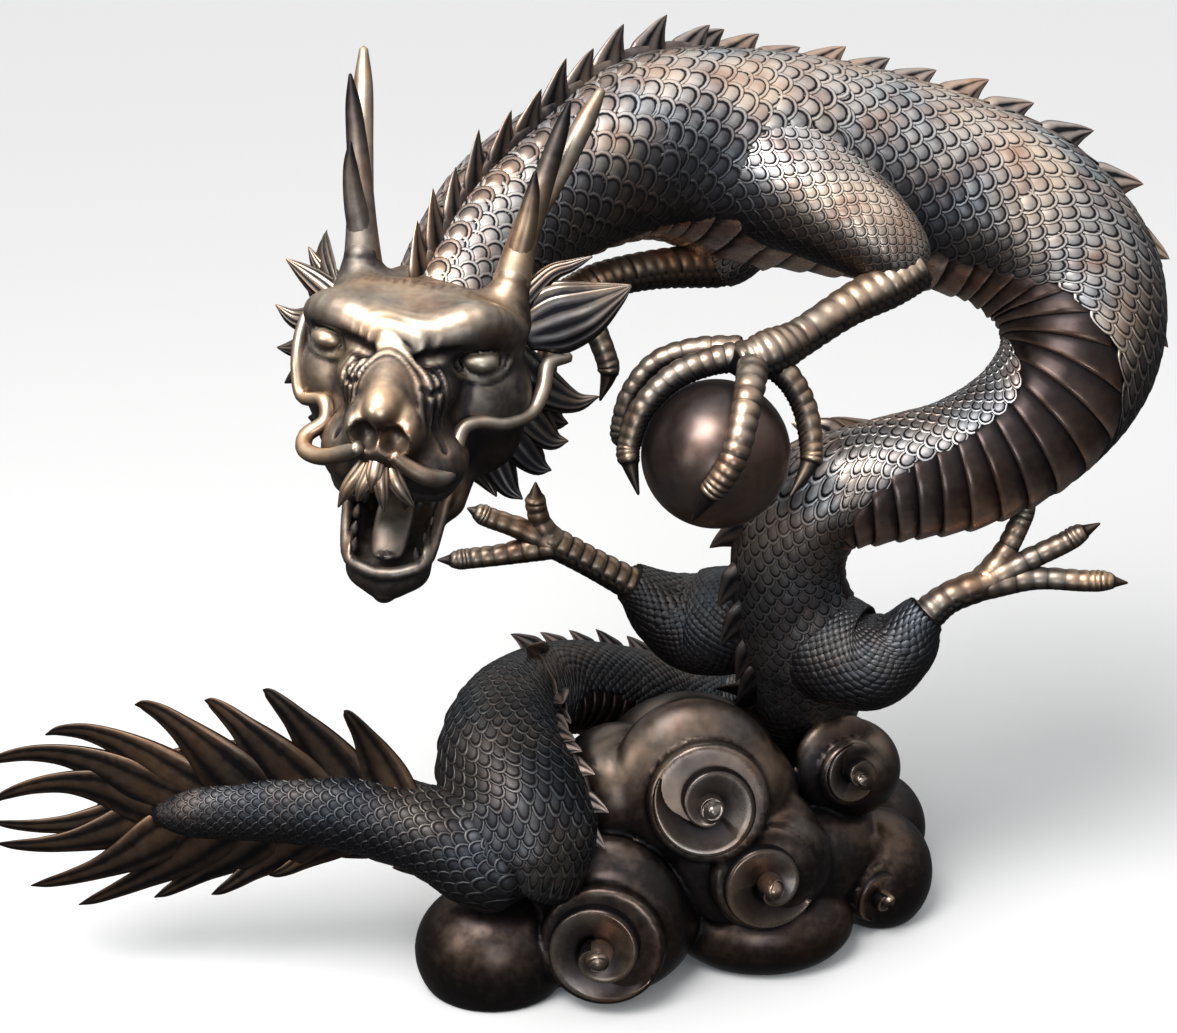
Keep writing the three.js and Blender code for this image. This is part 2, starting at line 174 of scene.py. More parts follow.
# Distances are taken to every third sample of a form, for this many points at a time.
SWELL_STRIDE, POINTS_AT_ONCE = 3, 20000


class Form:
    """A round form swept along a curve: a centre, radius and frame at each sample, by length in mm."""

    def __init__(self, stations, per_span=24):
        rows = [(*s[:4], *s[4], s[5]) for s in stations]
        data, self.station = catmull(rows, per_span)
        self.centre, self.radius, self.belly = data[:, :3], np.maximum(data[:, 3], 1), data[:, 7]
        steps = np.linalg.norm(np.diff(self.centre, axis=0), axis=1)
        self.s = np.concatenate([[0], np.cumsum(steps)])
        self.along = unit(np.gradient(self.centre, self.s, axis=0))
        hint = data[:, 4:7]
        self.up = unit(hint - (hint * self.along).sum(1, keepdims=True) * self.along)
        self.across = np.cross(self.along, self.up)
        self.length = self.s[-1]

    def at(self, values, s):
        if values.ndim == 1:
            return np.interp(s, self.s, values)
        return np.stack([np.interp(s, self.s, column) for column in values.T], -1)

    def radius_at(self, s):
        return float(self.at(self.radius, s))

    def belly_at(self, s):
        """Half the angle that the belly takes up at a length."""
        return math.radians(float(self.at(self.belly, s)))

    def s_of(self, station):
        return float(np.interp(station, self.station, self.s))

    def out(self, s, angle):
        """The way out of the form at an angle round it, measured from the spine."""
        up, across = self.at(self.up, s), self.at(self.across, s)
        return np.cos(angle)[..., None] * up + np.sin(angle)[..., None] * across

    def point(self, s, angle, lift=0.0):
        radius = self.at(self.radius, s) + lift
        return self.at(self.centre, s) + radius[..., None] * self.out(s, angle)

    def depth(self, points):
        """Distance of each point outside the form."""
        centre, radius = self.centre[::SWELL_STRIDE], self.radius[::SWELL_STRIDE]
        result = np.empty(len(points))
        for i in range(0, len(points), POINTS_AT_ONCE):
            block = points[i : i + POINTS_AT_ONCE]
            gap = np.sqrt(((block[:, None] - centre[None]) ** 2).sum(-1)) - radius[None]
            result[i : i + POINTS_AT_ONCE] = gap.min(1)
        return result


# How far apart two forms begin to swell into each other, in mm.
BLEND = 26.0
TRUNK_FORM = Form(TRUNK)
TAIL_FORM = Form(TAIL)
NEAR_ARM_FORM = Form(NEAR_UPPER_ARM)
FAR_ARM_FORM = Form(FAR_UPPER_ARM)
NEAR_THIGH_FORM = Form(NEAR_THIGH)
FAR_THIGH_FORM = Form(FAR_THIGH)
FLESH = [TRUNK_FORM, TAIL_FORM, NEAR_ARM_FORM, FAR_ARM_FORM, NEAR_THIGH_FORM, FAR_THIGH_FORM]


def swell(form, points):
    """How far a form's surface swells where it runs into its neighbours, and its distance outside them."""
    gap = np.full(len(points), 1e9)
    for other in FLESH:
        if other is not form:
            gap = np.minimum(gap, other.depth(points))
    near = np.maximum(BLEND - np.abs(gap), 0) / BLEND
    return near**2 * BLEND / 4, gap


# ---------------------------------------------------------------- meshes
# A face gets no painted shade when it looks up by more than this, and gains painted shade, which blackens it
# as if in shadow, over the span below that.
PAINTED_SHADE_BELOW, PAINTED_SHADE_SPAN = 0.34, 0.9
# The height in metres where the painted light on upward faces begins, and the height over which it grows.
PAINTED_LIGHT_FROM, PAINTED_LIGHT_SPAN = 0.42, 0.5
# How much less painted light falls on faces that look to the dragon's left, and how far up a face looks to
# get all of it.
PAINTED_LIGHT_SIDE_LOSS, PAINTED_LIGHT_FACING = 0.7, 0.66


def place():
    """From the design's millimetres to the frame's metres: the pearl says where the design stands."""
    low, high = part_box("pearl")
    return np.array((low + high) / 2) - np.array(PEARL_AT) * MM


def write_values(mesh, values):
    """Stores a number per point under each name."""
    for key, value in values.items():
        layer = mesh.attributes.new(key, "FLOAT", "POINT")
        layer.data.foreach_set("value", np.broadcast_to(value, len(mesh.vertices)).astype(np.float32))


def make_object(name, points, faces, values):
    """A mesh object from points in design millimetres, with a number per point for each named value, plus
    painted shade on faces that look down and painted light on faces that look up high on the sculpture.
    """
    mesh = bpy.data.meshes.new(name)
    points = np.asarray(points, float) * MM + place()
    mesh.from_pydata(points.tolist(), [], faces if isinstance(faces, list) else faces.tolist())
    mesh.update()
    normals = np.empty(len(mesh.vertices) * 3, np.float32)
    mesh.vertices.foreach_get("normal", normals)
    right, _, facing = normals.reshape(-1, 3).T
    # A piece may give its own upward look per point, which the painted shade and painted light then use
    # instead of the face's normal.
    if "shelter" in values:
        facing = np.where(np.isnan(values["shelter"]), facing, values["shelter"])
    # Painted light: faces that look up, high on the sculpture, are made paler, less so those that look to the
    # dragon's left.
    high_up = np.clip((points[:, 2] - PAINTED_LIGHT_FROM) / PAINTED_LIGHT_SPAN, 0, 1)
    painted_overhead_light = np.clip((facing - PAINTED_LIGHT_SIDE_LOSS * np.maximum(right, 0)) / PAINTED_LIGHT_FACING, 0, 1) * high_up
    # Painted shade: faces that look down are blackened as if in shadow.
    shelter = np.clip((PAINTED_SHADE_BELOW - facing) / PAINTED_SHADE_SPAN, 0, 1)
    write_values(mesh, {**values, "shelter": shelter, "painted_light": painted_overhead_light})
    mesh.polygons.foreach_set("use_smooth", [True] * len(mesh.polygons))
    piece = bpy.data.objects.new(name, mesh)
    bpy.context.scene.collection.objects.link(piece)
    return piece


class Heap:
    """Points, faces and values of many small shells, gathered for one object."""

    def __init__(self):
        self.points, self.faces, self.values, self.count = [], [], {}, 0

    def add(self, points, faces, **values):
        points = np.asarray(points, float).reshape(-1, 3)
        values = {"shelter": np.nan, "dark": 0.0, "tone": 0.5, **values}
        self.points.append(points)
        self.faces += [tuple(int(i) + self.count for i in f) for f in faces]
        for key, value in values.items():
            self.values.setdefault(key, []).append(np.broadcast_to(value, (len(points),)).astype(float))
        self.count += len(points)

    def build(self, name):
        values = {key: np.concatenate(value) for key, value in self.values.items()}
        return make_object(name, np.vstack(self.points), self.faces, values)


def ring_faces(rings, sides, closed_ends=True):
    """Quads between successive rings of equal size, and a many-sided face over each end if wanted."""
    faces = []
    for r in range(rings - 1):
        for k in range(sides):
            a, b = r * sides + k, r * sides + (k + 1) % sides
            faces.append((a, b, b + sides, a + sides))
    if closed_ends:
        faces.append(tuple(range(sides - 1, -1, -1)))
        faces.append(tuple((rings - 1) * sides + k for k in range(sides)))
    return faces


def shield(angles, rings):
    """A scale's shell: points as (across, along, up) and its faces. The free edge is at along = +1."""
    points = [(0.0, 0.0, rings[0][1])]
    for radius, height in rings[1:]:
        for angle in angles:
            points.append((radius * math.sin(angle), radius * math.cos(angle), height))
    n = len(angles)
    faces = [(0, 1 + (k + 1) % n, 1 + k) for k in range(n)]
    for r in range(len(rings) - 2):
        for k in range(n):
            a, b = 1 + r * n + k, 1 + r * n + (k + 1) % n
            faces.append((a, b, b + n, a + n))
    faces.append(tuple(1 + (len(rings) - 2) * n + k for k in range(n)))
    return np.array(points), faces


# The shields' corners in degrees from the free edge, and their rings as (radius, height).
FRONT = [math.radians(a) for a in (-108, -81, -54, -27, 0, 27, 54, 81, 108, 150, 210)]
SMALL_FRONT = [math.radians(a) for a in (-100, -60, -20, 20, 60, 100, 150, 210)]
BIG_SHIELD = shield(FRONT, [(0, 0.40), (0.52, 0.33), (0.70, 0.17), (0.86, 0.34), (1.0, 0.20), (1.0, -0.45)])
SMALL_SHIELD = shield(SMALL_FRONT, [(0, 0.42), (0.80, 0.32), (1.0, -0.4)])
SHIELD_RELIEF = {
    len(BIG_SHIELD[0]): np.repeat([0.62, 0.5, 0.0, 1.0, 0.55, 0.0], [1] + [len(FRONT)] * 5),
    len(SMALL_SHIELD[0]): np.repeat([0.75, 0.85, 0.0], [1] + [len(SMALL_FRONT)] * 2),
}
# A scale's half breadth and half length, and the step from one row to the next, as shares of its width.
SCALE_HALF_ACROSS, SCALE_HALF_ALONG, ROW_STEP = 0.53, 0.64, 0.54


def scale_spots(form, start, end, around):
    """Rows staggered like roof tiles: each scale's length along the form, angle round it and width."""
    s, limit, row = form.s_of(start), form.s_of(end), 0
    spots = []
    while s < limit:
        width = 2 * math.pi * form.radius_at(s) / around
        angles = (np.arange(around) + 0.5 * (row % 2)) * 2 * math.pi / around
        angles = (angles + math.pi) % (2 * math.pi) - math.pi
        keep = np.abs(angles) < math.pi - form.belly_at(s) + 0.04
        spots += [(s, a, width) for a in angles[keep]]
        s += width * ROW_STEP
        row += 1
    spots = np.array(spots)
    _, gap = swell(form, form.point(spots[:, 0], spots[:, 1]))
    return spots[gap > -4].T


def lay_scales(heap, form, start, end, around, small, seed, rub=0.0, rise=0.15):
    """Rows of overlapping scales on a form, with their free edges towards its end."""
    template, faces = SMALL_SHIELD if small else BIG_SHIELD
    random = np.random.RandomState(seed)
    s, angle, width = scale_spots(form, start, end, around)
    count, n = len(s), len(template)
    jitter = 1 + 0.05 * random.randn(count)
    across, along, up = template.T
    half_across, half_along = SCALE_HALF_ACROSS * width * jitter, SCALE_HALF_ALONG * width
    at_s = np.clip(s[:, None] + along * half_along[:, None], 0, form.length).ravel()
    at_angle = (angle[:, None] + across * half_across[:, None] / form.at(form.radius, s)[:, None]).ravel()
    lift = (up + 0.24 * along) * (rise * width * (1 + 0.12 * random.randn(count)))[:, None]
    base = form.point(at_s, at_angle)
    push, _ = swell(form, base)
    points = base + form.out(at_s, at_angle) * (lift.ravel() + push)[:, None]
    all_faces = [tuple(i + k * n for i in f) for k in range(count) for f in faces]
    tone = np.repeat(random.rand(count), n)
    # Each scale's painted shade follows how far its place on the form looks up.
    facing = np.repeat(form.out(s, angle)[:, 2], n)
    relief = np.tile(SHIELD_RELIEF[n], count)
    heap.add(points, all_faces, relief=relief, tone=tone, rub=rub, shelter=facing)


# How deep the flesh lies under the scales' feet, in mm.
SKIN_SINK = 1.2


def skin(heap, form, start, end, sides=40, step=9.0):
    """The smooth flesh, just under the scales."""
    s0, s1 = form.s_of(start), form.s_of(end)
    count = max(int((s1 - s0) / step), 4)
    s = np.repeat(np.linspace(s0, s1, count), sides)
    angle = np.tile(np.linspace(0, 2 * np.pi, sides, endpoint=False), count)
    base = form.point(s, angle)
    push, gap = swell(form, base)
    push = np.where(gap < -BLEND / 2, 0, push)
    points = base + form.out(s, angle) * (push - SKIN_SINK)[:, None]
    heap.add(points, [f[::-1] for f in ring_faces(count, sides)], relief=0.2, tone=0.4, rub=0.0)


# A belly plate's section as (share along, share up), and the relief at each point of it.
PLATE_SECTION = [(0.0, -0.9), (0.12, 0.05), (0.5, 0.5), (0.82, 0.95), (0.95, 1.0), (1.02, 0.72), (1.04, -0.8)]
PLATE_RELIEF = [0.0, 0.15, 0.6, 0.8, 1.0, 0.8, 0.0]
# A plate's pitch as a share of the trunk's radius, how far it laps over, and its columns across.
PLATE_PITCH, PLATE_LAP, PLATE_COLUMNS = 0.36, 1.12, 14


def belly_plates(heap, form, start, end, rise):
    """Broad plates across the belly, each lapping over the next one towards the tail."""
    s, limit = form.s_of(start), form.s_of(end)
    n, rings = PLATE_COLUMNS + 1, len(PLATE_SECTION) + 1
    edge = 1 - np.abs(np.linspace(-1, 1, n)) ** 8
    faces = []
    for i in range(rings):
        j = (i + 1) % rings
        for c in range(PLATE_COLUMNS):
            faces.append((i * n + c, j * n + c, j * n + c + 1, i * n + c + 1))
    faces.append(tuple(i * n for i in range(rings))[::-1])
    faces.append(tuple(i * n + PLATE_COLUMNS for i in range(rings)))
    k = 0
    while s < limit:
        pitch = form.radius_at(s) * PLATE_PITCH
        half = form.belly_at(s) + 0.05
        angle = math.pi + np.linspace(-half, half, n)
        points, value = [], []
        for (along, up), relief in zip(PLATE_SECTION, PLATE_RELIEF):
            at_s = np.full(n, s + along * pitch * PLATE_LAP)
            lift = (up * rise) * edge - 1.8 * (1 - edge)
            base = form.point(at_s, angle)
            push, _ = swell(form, base)
            points.append(base + form.out(at_s, angle) * (lift + push)[:, None])
            value.append(relief * edge)
        points.append(form.point(np.full(n, s + pitch * 0.5), angle, -4.0))
        value.append(np.zeros(n))
        heap.add(np.vstack(points), faces, relief=np.concatenate(value), tone=(k * 0.37) % 1.0, rub=0.0)
        s += pitch
        k += 1


# ---------------------------------------------------------------- smooth joins of round forms
def smin(a, b, k):
    h = np.maximum(k - np.abs(a - b), 0) / k
    return np.minimum(a, b) - h * h * k / 4


def smax(a, b, k):
    return -smin(-a, -b, k)


def ellipsoid(p, centre, radii):
    q = (p - np.array(centre, float)) / np.array(radii, float)
    k0 = np.sqrt((q**2).sum(-1))
    k1 = np.sqrt(((q / np.array(radii, float)) ** 2).sum(-1))
    return k0 * (k0 - 1) / np.maximum(k1, 1e-9)


def chain(p, stations):
    """Distance to a run of round rods through (x, y, z, radius) stations."""
    stations = np.array(stations, float)
    best = np.inf
    for a, b in zip(stations[:-1], stations[1:]):
        axis = b[:3] - a[:3]
        t = np.clip((p - a[:3]) @ axis / (axis @ axis), 0, 1)
        d = np.sqrt(((p - a[:3] - t[..., None] * axis) ** 2).sum(-1)) - (a[3] + t * (b[3] - a[3]))
        best = np.minimum(best, d)
    return best


def smooth_chain(p, stations, per_span=3):
    return chain(p, catmull(stations, per_span)[0])


def rounded_box(p, centre, half, corner, lean):
    """A box with round edges, leant back about X by an angle in degrees."""
    q = p - np.array(centre, float)
    c, s = math.cos(math.radians(lean)), math.sin(math.radians(lean))
    q = np.stack([q[..., 0], q[..., 1] * c - q[..., 2] * s, q[..., 1] * s + q[..., 2] * c], -1)
    q = np.abs(q) - (np.array(half, float) - corner)
    return np.sqrt((np.maximum(q, 0) ** 2).sum(-1)) + np.minimum(q.max(-1), 0) - corner


def gradient(field, points, gap):
    parts = []
    for k in range(3):
        shift = np.zeros(3)
        shift[k] = gap
        parts.append((field(points + shift) - field(points - shift)) / (2 * gap))
    return np.stack(parts, -1)


def relief_of(field, points, reach=7.0):
    """0 in the hollows, 0.5 on open surface, 1 on sharp ridges."""
    normal = unit(gradient(field, points, 1.0))
    out, inn = 0, 0
    for d in (reach * 0.4, reach):
        out = out + np.clip((d - field(points + normal * d)) / d, 0, 1)
        inn = inn + np.clip((d + field(points - normal * d)) / d, 0, 1)
    return np.clip(0.5 - 0.55 * out + 0.45 * inn, 0, 1)


# The grid is sampled every few points first, then at every point this many coarse cells from the surface.
GRID_BLOCK, GRID_REACH, GRID_POINTS_AT_ONCE = 4, 2.2, 60000
CORNERS = [(a, b, c) for a in (0, 1) for b in (0, 1) for c in (0, 1)]


def sampled(field, axes, step):
    """The field on a grid: exact near its zero surface, and repeated from a coarse grid elsewhere."""
    coarse = np.stack(np.meshgrid(*(axis[::GRID_BLOCK] for axis in axes), indexing="ij"), -1)
    values = field(coarse.reshape(-1, 3)).reshape(coarse.shape[:3])
    for k, axis in enumerate(axes):
        values = np.repeat(values, GRID_BLOCK, axis=k).take(np.arange(len(axis)), axis=k)
    near = np.abs(values) < step * GRID_BLOCK * GRID_REACH
    points = np.stack([axis[column] for axis, column in zip(axes, np.nonzero(near))], -1)
    exact = np.empty(len(points))
    for i in range(0, len(points), GRID_POINTS_AT_ONCE):
        exact[i : i + GRID_POINTS_AT_ONCE] = field(points[i : i + GRID_POINTS_AT_ONCE])
    values[near] = exact
    return values


def cell_vertices(values, cells):
    """A vertex in each cell: the middle of the places where the surface crosses the cell's edges."""
    at_corner = np.stack([values[tuple((cells + corner).T)] for corner in CORNERS], -1)
    total, weight = np.zeros((len(cells), 3)), np.zeros(len(cells))
    for (i, first), (j, second) in itertools.combinations(enumerate(CORNERS), 2):
        edge = np.subtract(second, first)
        if np.abs(edge).sum() != 1:
            continue
        va, vb = at_corner[:, i], at_corner[:, j]
        cross = (va < 0) != (vb < 0)
        t = np.where(cross, va / np.where(cross, va - vb, 1), 0)[:, None]
        total += np.where(cross[:, None], np.array(first) + t * edge, 0)
        weight += cross
    return cells + total / np.maximum(weight, 1)[:, None]


def cell_faces(inside, number):
    """A quad through the four cells round each grid edge that the surface crosses, facing outwards."""
    faces = []
    for axis in range(3):
        u, v = (axis + 1) % 3, (axis + 2) % 3
        along = np.moveaxis(inside, axis, 0)
        spots = np.argwhere(np.moveaxis(along[:-1] != along[1:], 0, axis))
        ring = spots[:, [u, v]]
        spots = spots[((ring > 0) & (ring < np.take(number.shape, [u, v]))).all(1)]
        quad = []
        for du, dv in ((1, 1), (0, 1), (0, 0), (1, 0)):
            cell = spots.copy()
            cell[:, u] -= du
            cell[:, v] -= dv
            quad.append(number[tuple(cell.T)])
        quad = np.stack(quad, -1)
        outward = inside[tuple(spots.T)]
        quad[~outward] = quad[~outward][:, ::-1]
        faces.append(quad)
    faces = np.vstack(faces)
    return faces[(faces >= 0).all(1)]


def surface_of(field, low, high, step):
    """A closed quad mesh of the field's zero surface, with its vertices drawn onto it."""
    low, high = np.array(low, float), np.array(high, float)
    count = np.ceil((high - low) / (step * GRID_BLOCK)).astype(int) * GRID_BLOCK + 1
    values = sampled(field, [low[k] + step * np.arange(count[k]) for k in range(3)], step)
    inside = values < 0
    halves = [slice(None, -1), slice(1, None)]
    corners = np.stack([inside[halves[a], halves[b], halves[c]] for a, b, c in CORNERS], -1)
    crossed = corners.any(-1) & ~corners.all(-1)
    cells = np.argwhere(crossed)
    number = np.full(crossed.shape, -1)
    number[crossed] = np.arange(len(cells))
    vertices = low + step * cell_vertices(values, cells)
    for _ in range(2):
        value, slope = field(vertices), gradient(field, vertices, step * 0.4)
        size = np.maximum((slope**2).sum(-1), 0.2)
        move = np.clip(value / size, -step * 0.5, step * 0.5)
        vertices = vertices - slope * move[:, None]
    return vertices, cell_faces(inside, number)


# ---------------------------------------------------------------- lofts
def loft(stations, sides=12, per_span=6, up=(0, 0, 1), flat=1.0, wave=None):
    """A closed form through (x, y, z, radius) stations, with each point's swell and share of the way.

    flat squeezes it along up, and wave(t, angle) swells it.
    """
    data, station = catmull(stations, per_span)
    centre, radius = data[:, :3], np.maximum(data[:, 3], 0.3)
    along = unit(np.gradient(centre, axis=0))
    hint = np.broadcast_to(np.array(up, float), along.shape)
    lift = unit(hint - (hint * along).sum(1, keepdims=True) * along)
    side = np.cross(along, lift)
    count = len(centre)
    t = station / station[-1]
    angle = np.linspace(0, 2 * np.pi, sides, endpoint=False)
    swelled = np.ones((count, sides)) if wave is None else wave(t[:, None], angle[None])
    r = radius[:, None] * swelled
    sideways, upwards = r * np.sin(angle), r * np.cos(angle) * flat
    rings = centre[:, None] + sideways[..., None] * side[:, None] + upwards[..., None] * lift[:, None]
    first = centre[:1] - along[:1] * radius[0] * 0.3
    last = centre[-1:] + along[-1:] * radius[-1] * 0.8
    points = np.vstack([rings.reshape(-1, 3), first, last])
    faces = ring_faces(count, sides, closed_ends=False)
    start, base = count * sides, (count - 1) * sides
    faces += [(start, (k + 1) % sides, k) for k in range(sides)]
    faces += [(start + 1, base + k, base + (k + 1) % sides) for k in range(sides)]
    swelled = np.concatenate([np.broadcast_to(swelled, (count, sides)).ravel(), [0.5, 0.6]])
    return points, faces, swelled, np.concatenate([np.repeat(t, sides), [0, 1]])


def head_matrix():
    turn = Matrix.Rotation(math.radians(HEAD_TURN), 3, "Z")
    lift = Matrix.Rotation(math.radians(-HEAD_LIFT), 3, "X")
    roll = Matrix.Rotation(math.radians(HEAD_ROLL), 3, "Y")
    return np.array(turn @ lift @ roll)


def to_head(points):
    """From the head's own axes (across to its left, back, up) to the design's."""
    return np.asarray(points, float) @ head_matrix().T + np.array(HEAD_AT)


# The rods and grooves of the face as (x, y, z, radius), in the head's own axes.
BROW = [
    (-98, 10, 12, 10), (-92, -28, 30, 16), (-62, -52, 38, 20), (-20, -66, 32, 19), (22, -69, 32, 19),
    (52, -64, 40, 20), (78, -52, 50, 22), (96, -28, 44, 18), (106, 8, 26, 12),
]
BROW_SLOT = [
    (-88, -56, 19, 4), (-50, -78, 18, 6), (-14, -92, 11, 6), (24, -94, 10, 6), (56, -82, 17, 6),
    (84, -66, 26, 4),
]
# The way in which whiskers and grooves are laid on the face.
LAY_ALONG = unit(np.array([-0.16, 0.87, -0.46]))
WHISKER_LEFT = [
    (-12, -124, -82, 7), (-28, -116, -92, 8.5), (-56, -98, -106, 9), (-80, -84, -106, 9),
    (-84, -70, -94, 8.5), (-68, -62, -78, 8), (-74, -50, -60, 8), (-104, -28, -66, 7.5), (-118, -2, -36, 7),
    (-119, 18, -2, 6.5), (-112, 34, 18, 4),
]
WHISKER_RIGHT = [
    (22, -124, -84, 7), (36, -114, -98, 8.5), (56, -96, -113, 9.5), (70, -80, -112, 9), (72, -64, -94, 8.5),
    (76, -52, -68, 8), (92, -42, -60, 7), (116, -30, -60, 7), (138, -12, -46, 7.5), (146, 2, -22, 8.5),
    (146, 22, 2, 8), (164, 42, 8, 6),
]
JAW_RIM = [
    (58, 4, -126, 10), (54, -34, -158, 7.5), (50, -70, -188, 7), (42, -92, -208, 7), (16, -104, -216, 7),
    (-1, -106, -217, 7),
]
UPPER_LIP = [(16, -116, -118, 8), (38, -104, -126, 9), (56, -84, -128, 9), (68, -56, -118, 8)]
NOSE_CURL = [
    (4, -92, 10, 2.2), (26, -90, 8, 2.4), (44, -86, -2, 2.4), (50, -84, -16, 2.4), (42, -90, -26, 2.4),
    (32, -94, -22, 2.2),
]
CHEEK_FOLDS = [
    [(40, -112, -46, 2.6), (52, -98, -62, 3.0), (56, -88, -84, 2.4)],
    [(58, -76, -34, 1.8), (66, -68, -50, 2.2), (68, -66, -66, 1.8)],
]


def skew(p):
    """Mirrored axes, and the way across with its sign: the muzzle and jaw swing a little to the left."""
    drop = np.clip(-p[..., 2] / 200, 0, 1.2)
    x = p[..., 0] - 9 * np.clip((-p[..., 1] - 40) / 70, 0, 1) - 8 * drop
    z = p[..., 2] - 0.10 * x * np.clip(drop * 2 - 0.6, 0, 1)
    q = np.stack([np.abs(np.where(x < 0, x / 0.92, x)), p[..., 1], z], -1)
    return q, x


def head_mass(q):
    """The big forms of the head, in mirrored axes."""
    skull = ellipsoid(q, (0, 66, -22), (112, 112, 78))
    temples = smin(skull, ellipsoid(q, (42, -4, 28), (60, 62, 38)), 24)
    forehead = smin(temples, ellipsoid(q, (0, 0, 26), (66, 62, 38)), 20)
    cheeks = smin(forehead, ellipsoid(q, (66, 8, -38), (66, 66, 60)), 24)
    jowls = smin(cheeks, ellipsoid(q, (62, 40, -92), (56, 60, 58)), 30)
    muzzle = smin(jowls, chain(q, [(0, -20, -28, 56), (0, -78, -44, 52), (0, -112, -62, 40)]), 26)
    bridge = smin(muzzle, ellipsoid(q, (0, -74, -17), (66, 56, 35)), 18)
    nape = smin(bridge, ellipsoid(q, (6, 84, -4), (80, 54, 72)), 20)
    return smin(nape, ellipsoid(q, (30, -72, -94), (52, 58, 42)), 22)


def settle(field, stations, lift=0.0, way=LAY_ALONG):
    """Slides stations along one way, from outside, until they stand this share of their radius out."""
    stations = np.array(stations, float)
    spot = stations[:, :3] - way * 90
    for _ in range(40):
        spot = spot + way * np.clip(field(spot) - lift * stations[:, 3], -4, 20)[:, None] * 0.8
    slide = (spot - stations[:, :3]) @ way
    hit = np.abs(slide) < 40
    order = np.arange(len(slide))
    slide = np.interp(order, order[hit], slide[hit])
    smooth = np.convolve(np.pad(slide, 1, mode="edge"), (0.25, 0.5, 0.25), mode="valid")
    stations[:, :3] += way * np.minimum(slide, smooth)[:, None]
    return stations


# The middle of the eyeball and its radii.
EYE, EYE_RADII = (83, -40, 8), (21, 20, 14)


def eye_lid(width, height, radius):
    """A rim round the eye, laid on the head."""
    turn = np.linspace(0, 2 * np.pi, 17)
    x, y, z = EYE
    ring = [x + width * np.cos(turn), y - 4 + 0 * turn, z + height * np.sin(turn), radius + 0 * turn]
    return settle(head_mass, np.stack(ring, -1), 0.1, np.array([-0.1, 0.95, -0.1]))


LIDS = [eye_lid(24, 15, 3.4), eye_lid(31, 20, 2.6)]
GROOVES = [settle(head_mass, groove) for groove in (NOSE_CURL, *CHEEK_FOLDS)]


def brow_hair(x, y, z):
    """Combed ridges of hair between the brows, in mm."""
    row = np.exp(-(((y - 4 - 8 * np.cos(x / 6.3)) / 15) ** 2))
    reach = np.clip((z - 30) / 20, 0, 1) * np.exp(-((x / 62) ** 6))
    return 1.5 * row * reach * np.clip(np.cos(x * 2 * np.pi / 10 + 0.9 * np.sin(y / 7)), -0.2, 1)


def snout_wrinkles(x, y, z):
    """Rings of wrinkles behind the nose, in mm."""
    arc = np.sqrt(x**2 + ((y + 148) * 0.95) ** 2)
    fade = np.clip((arc - 30) / 8, 0, 1) * np.clip((84 - arc) / 14, 0, 1)
    fade = fade * np.clip((62 - np.abs(x)) / 10, 0, 1)
    fade = fade * np.clip((z + 56) / 14, 0, 1) * np.clip((-y - 52) / 8, 0, 1)
    return 1.4 * fade * np.cos((arc + 3 * np.sin(x / 11)) * 2 * np.pi / 9.5)


def nose_form(q):
    """The bridge, the ball of the nose and its wings."""
    nose = chain(q, [(0, -98, -4, 21), (0, -140, -20, 17)])
    nose = smin(nose, ellipsoid(q, (0, -149, -27), (17, 17, 16)), 10)
    return smin(nose, ellipsoid(q, (29, -132, -50), (13, 24, 19)), 14)


def jaw_form(q):
    """The lower jaw: chin, hinges, hollow and rim."""
    jaw = rounded_box(q, (0, -34, -196), (48, 68, 30), 20, lean=-20)
    jaw = smin(jaw, chain(q, [(0, -44, -226, 26), (0, -72, -232, 26), (0, -82, -246, 13)]), 22)
    jaw = smin(jaw, chain(q, [(56, 26, -112, 26), (50, -10, -165, 22)]), 20)
    jaw = smax(jaw, -rounded_box(q, (0, -66, -160), (40, 74, 42), 16, lean=-22), 5)
    return smin(jaw, smooth_chain(q, JAW_RIM), 4)


def head_field(p):
    """The whole head, with its horn roots, grooves, eyes, nose, open mouth and jaw."""
    q, x = skew(p)
    y, z = q[..., 1], q[..., 2]
    f = head_mass(q)
    for side, spread in ((1, 88), (-1, 68)):
        root = [(spread, 46, 34, 32), (spread + 5, 52, 74, 19), (spread + 7, 57, 100, 9)]
        f = smin(f, chain(p, [(side * across, *rest) for across, *rest in root]), 24)
    f = f + brow_hair(x, y, z) + snout_wrinkles(x, y, z)
    for groove in GROOVES:
        f = smax(f, -smooth_chain(q, groove), 4)
    f = smin(f, smooth_chain(p, BROW), 28)
    f = smax(f, -smooth_chain(p, BROW_SLOT), 8)
    f = smax(f, -ellipsoid(q, (84, -60, 8), (24, 17, 14)), 5)
    f = smin(f, ellipsoid(q, EYE, EYE_RADII), 2)
    for lid in LIDS:
        f = smin(f, chain(q, lid), 3)
    f = smin(f, nose_form(q), 16)
    nostril = ellipsoid(q, (16, -156, -57), (16, 27, 16))
    f = smax(f, -nostril, 4)
    f = smin(f, smooth_chain(q, UPPER_LIP), 6)
    f = smin(f, jaw_form(q), 10)
    mouth = rounded_box(q, (0, -80, -162), (40, 70, 28), 14, lean=-14)
    return smax(f, -mouth, 6)


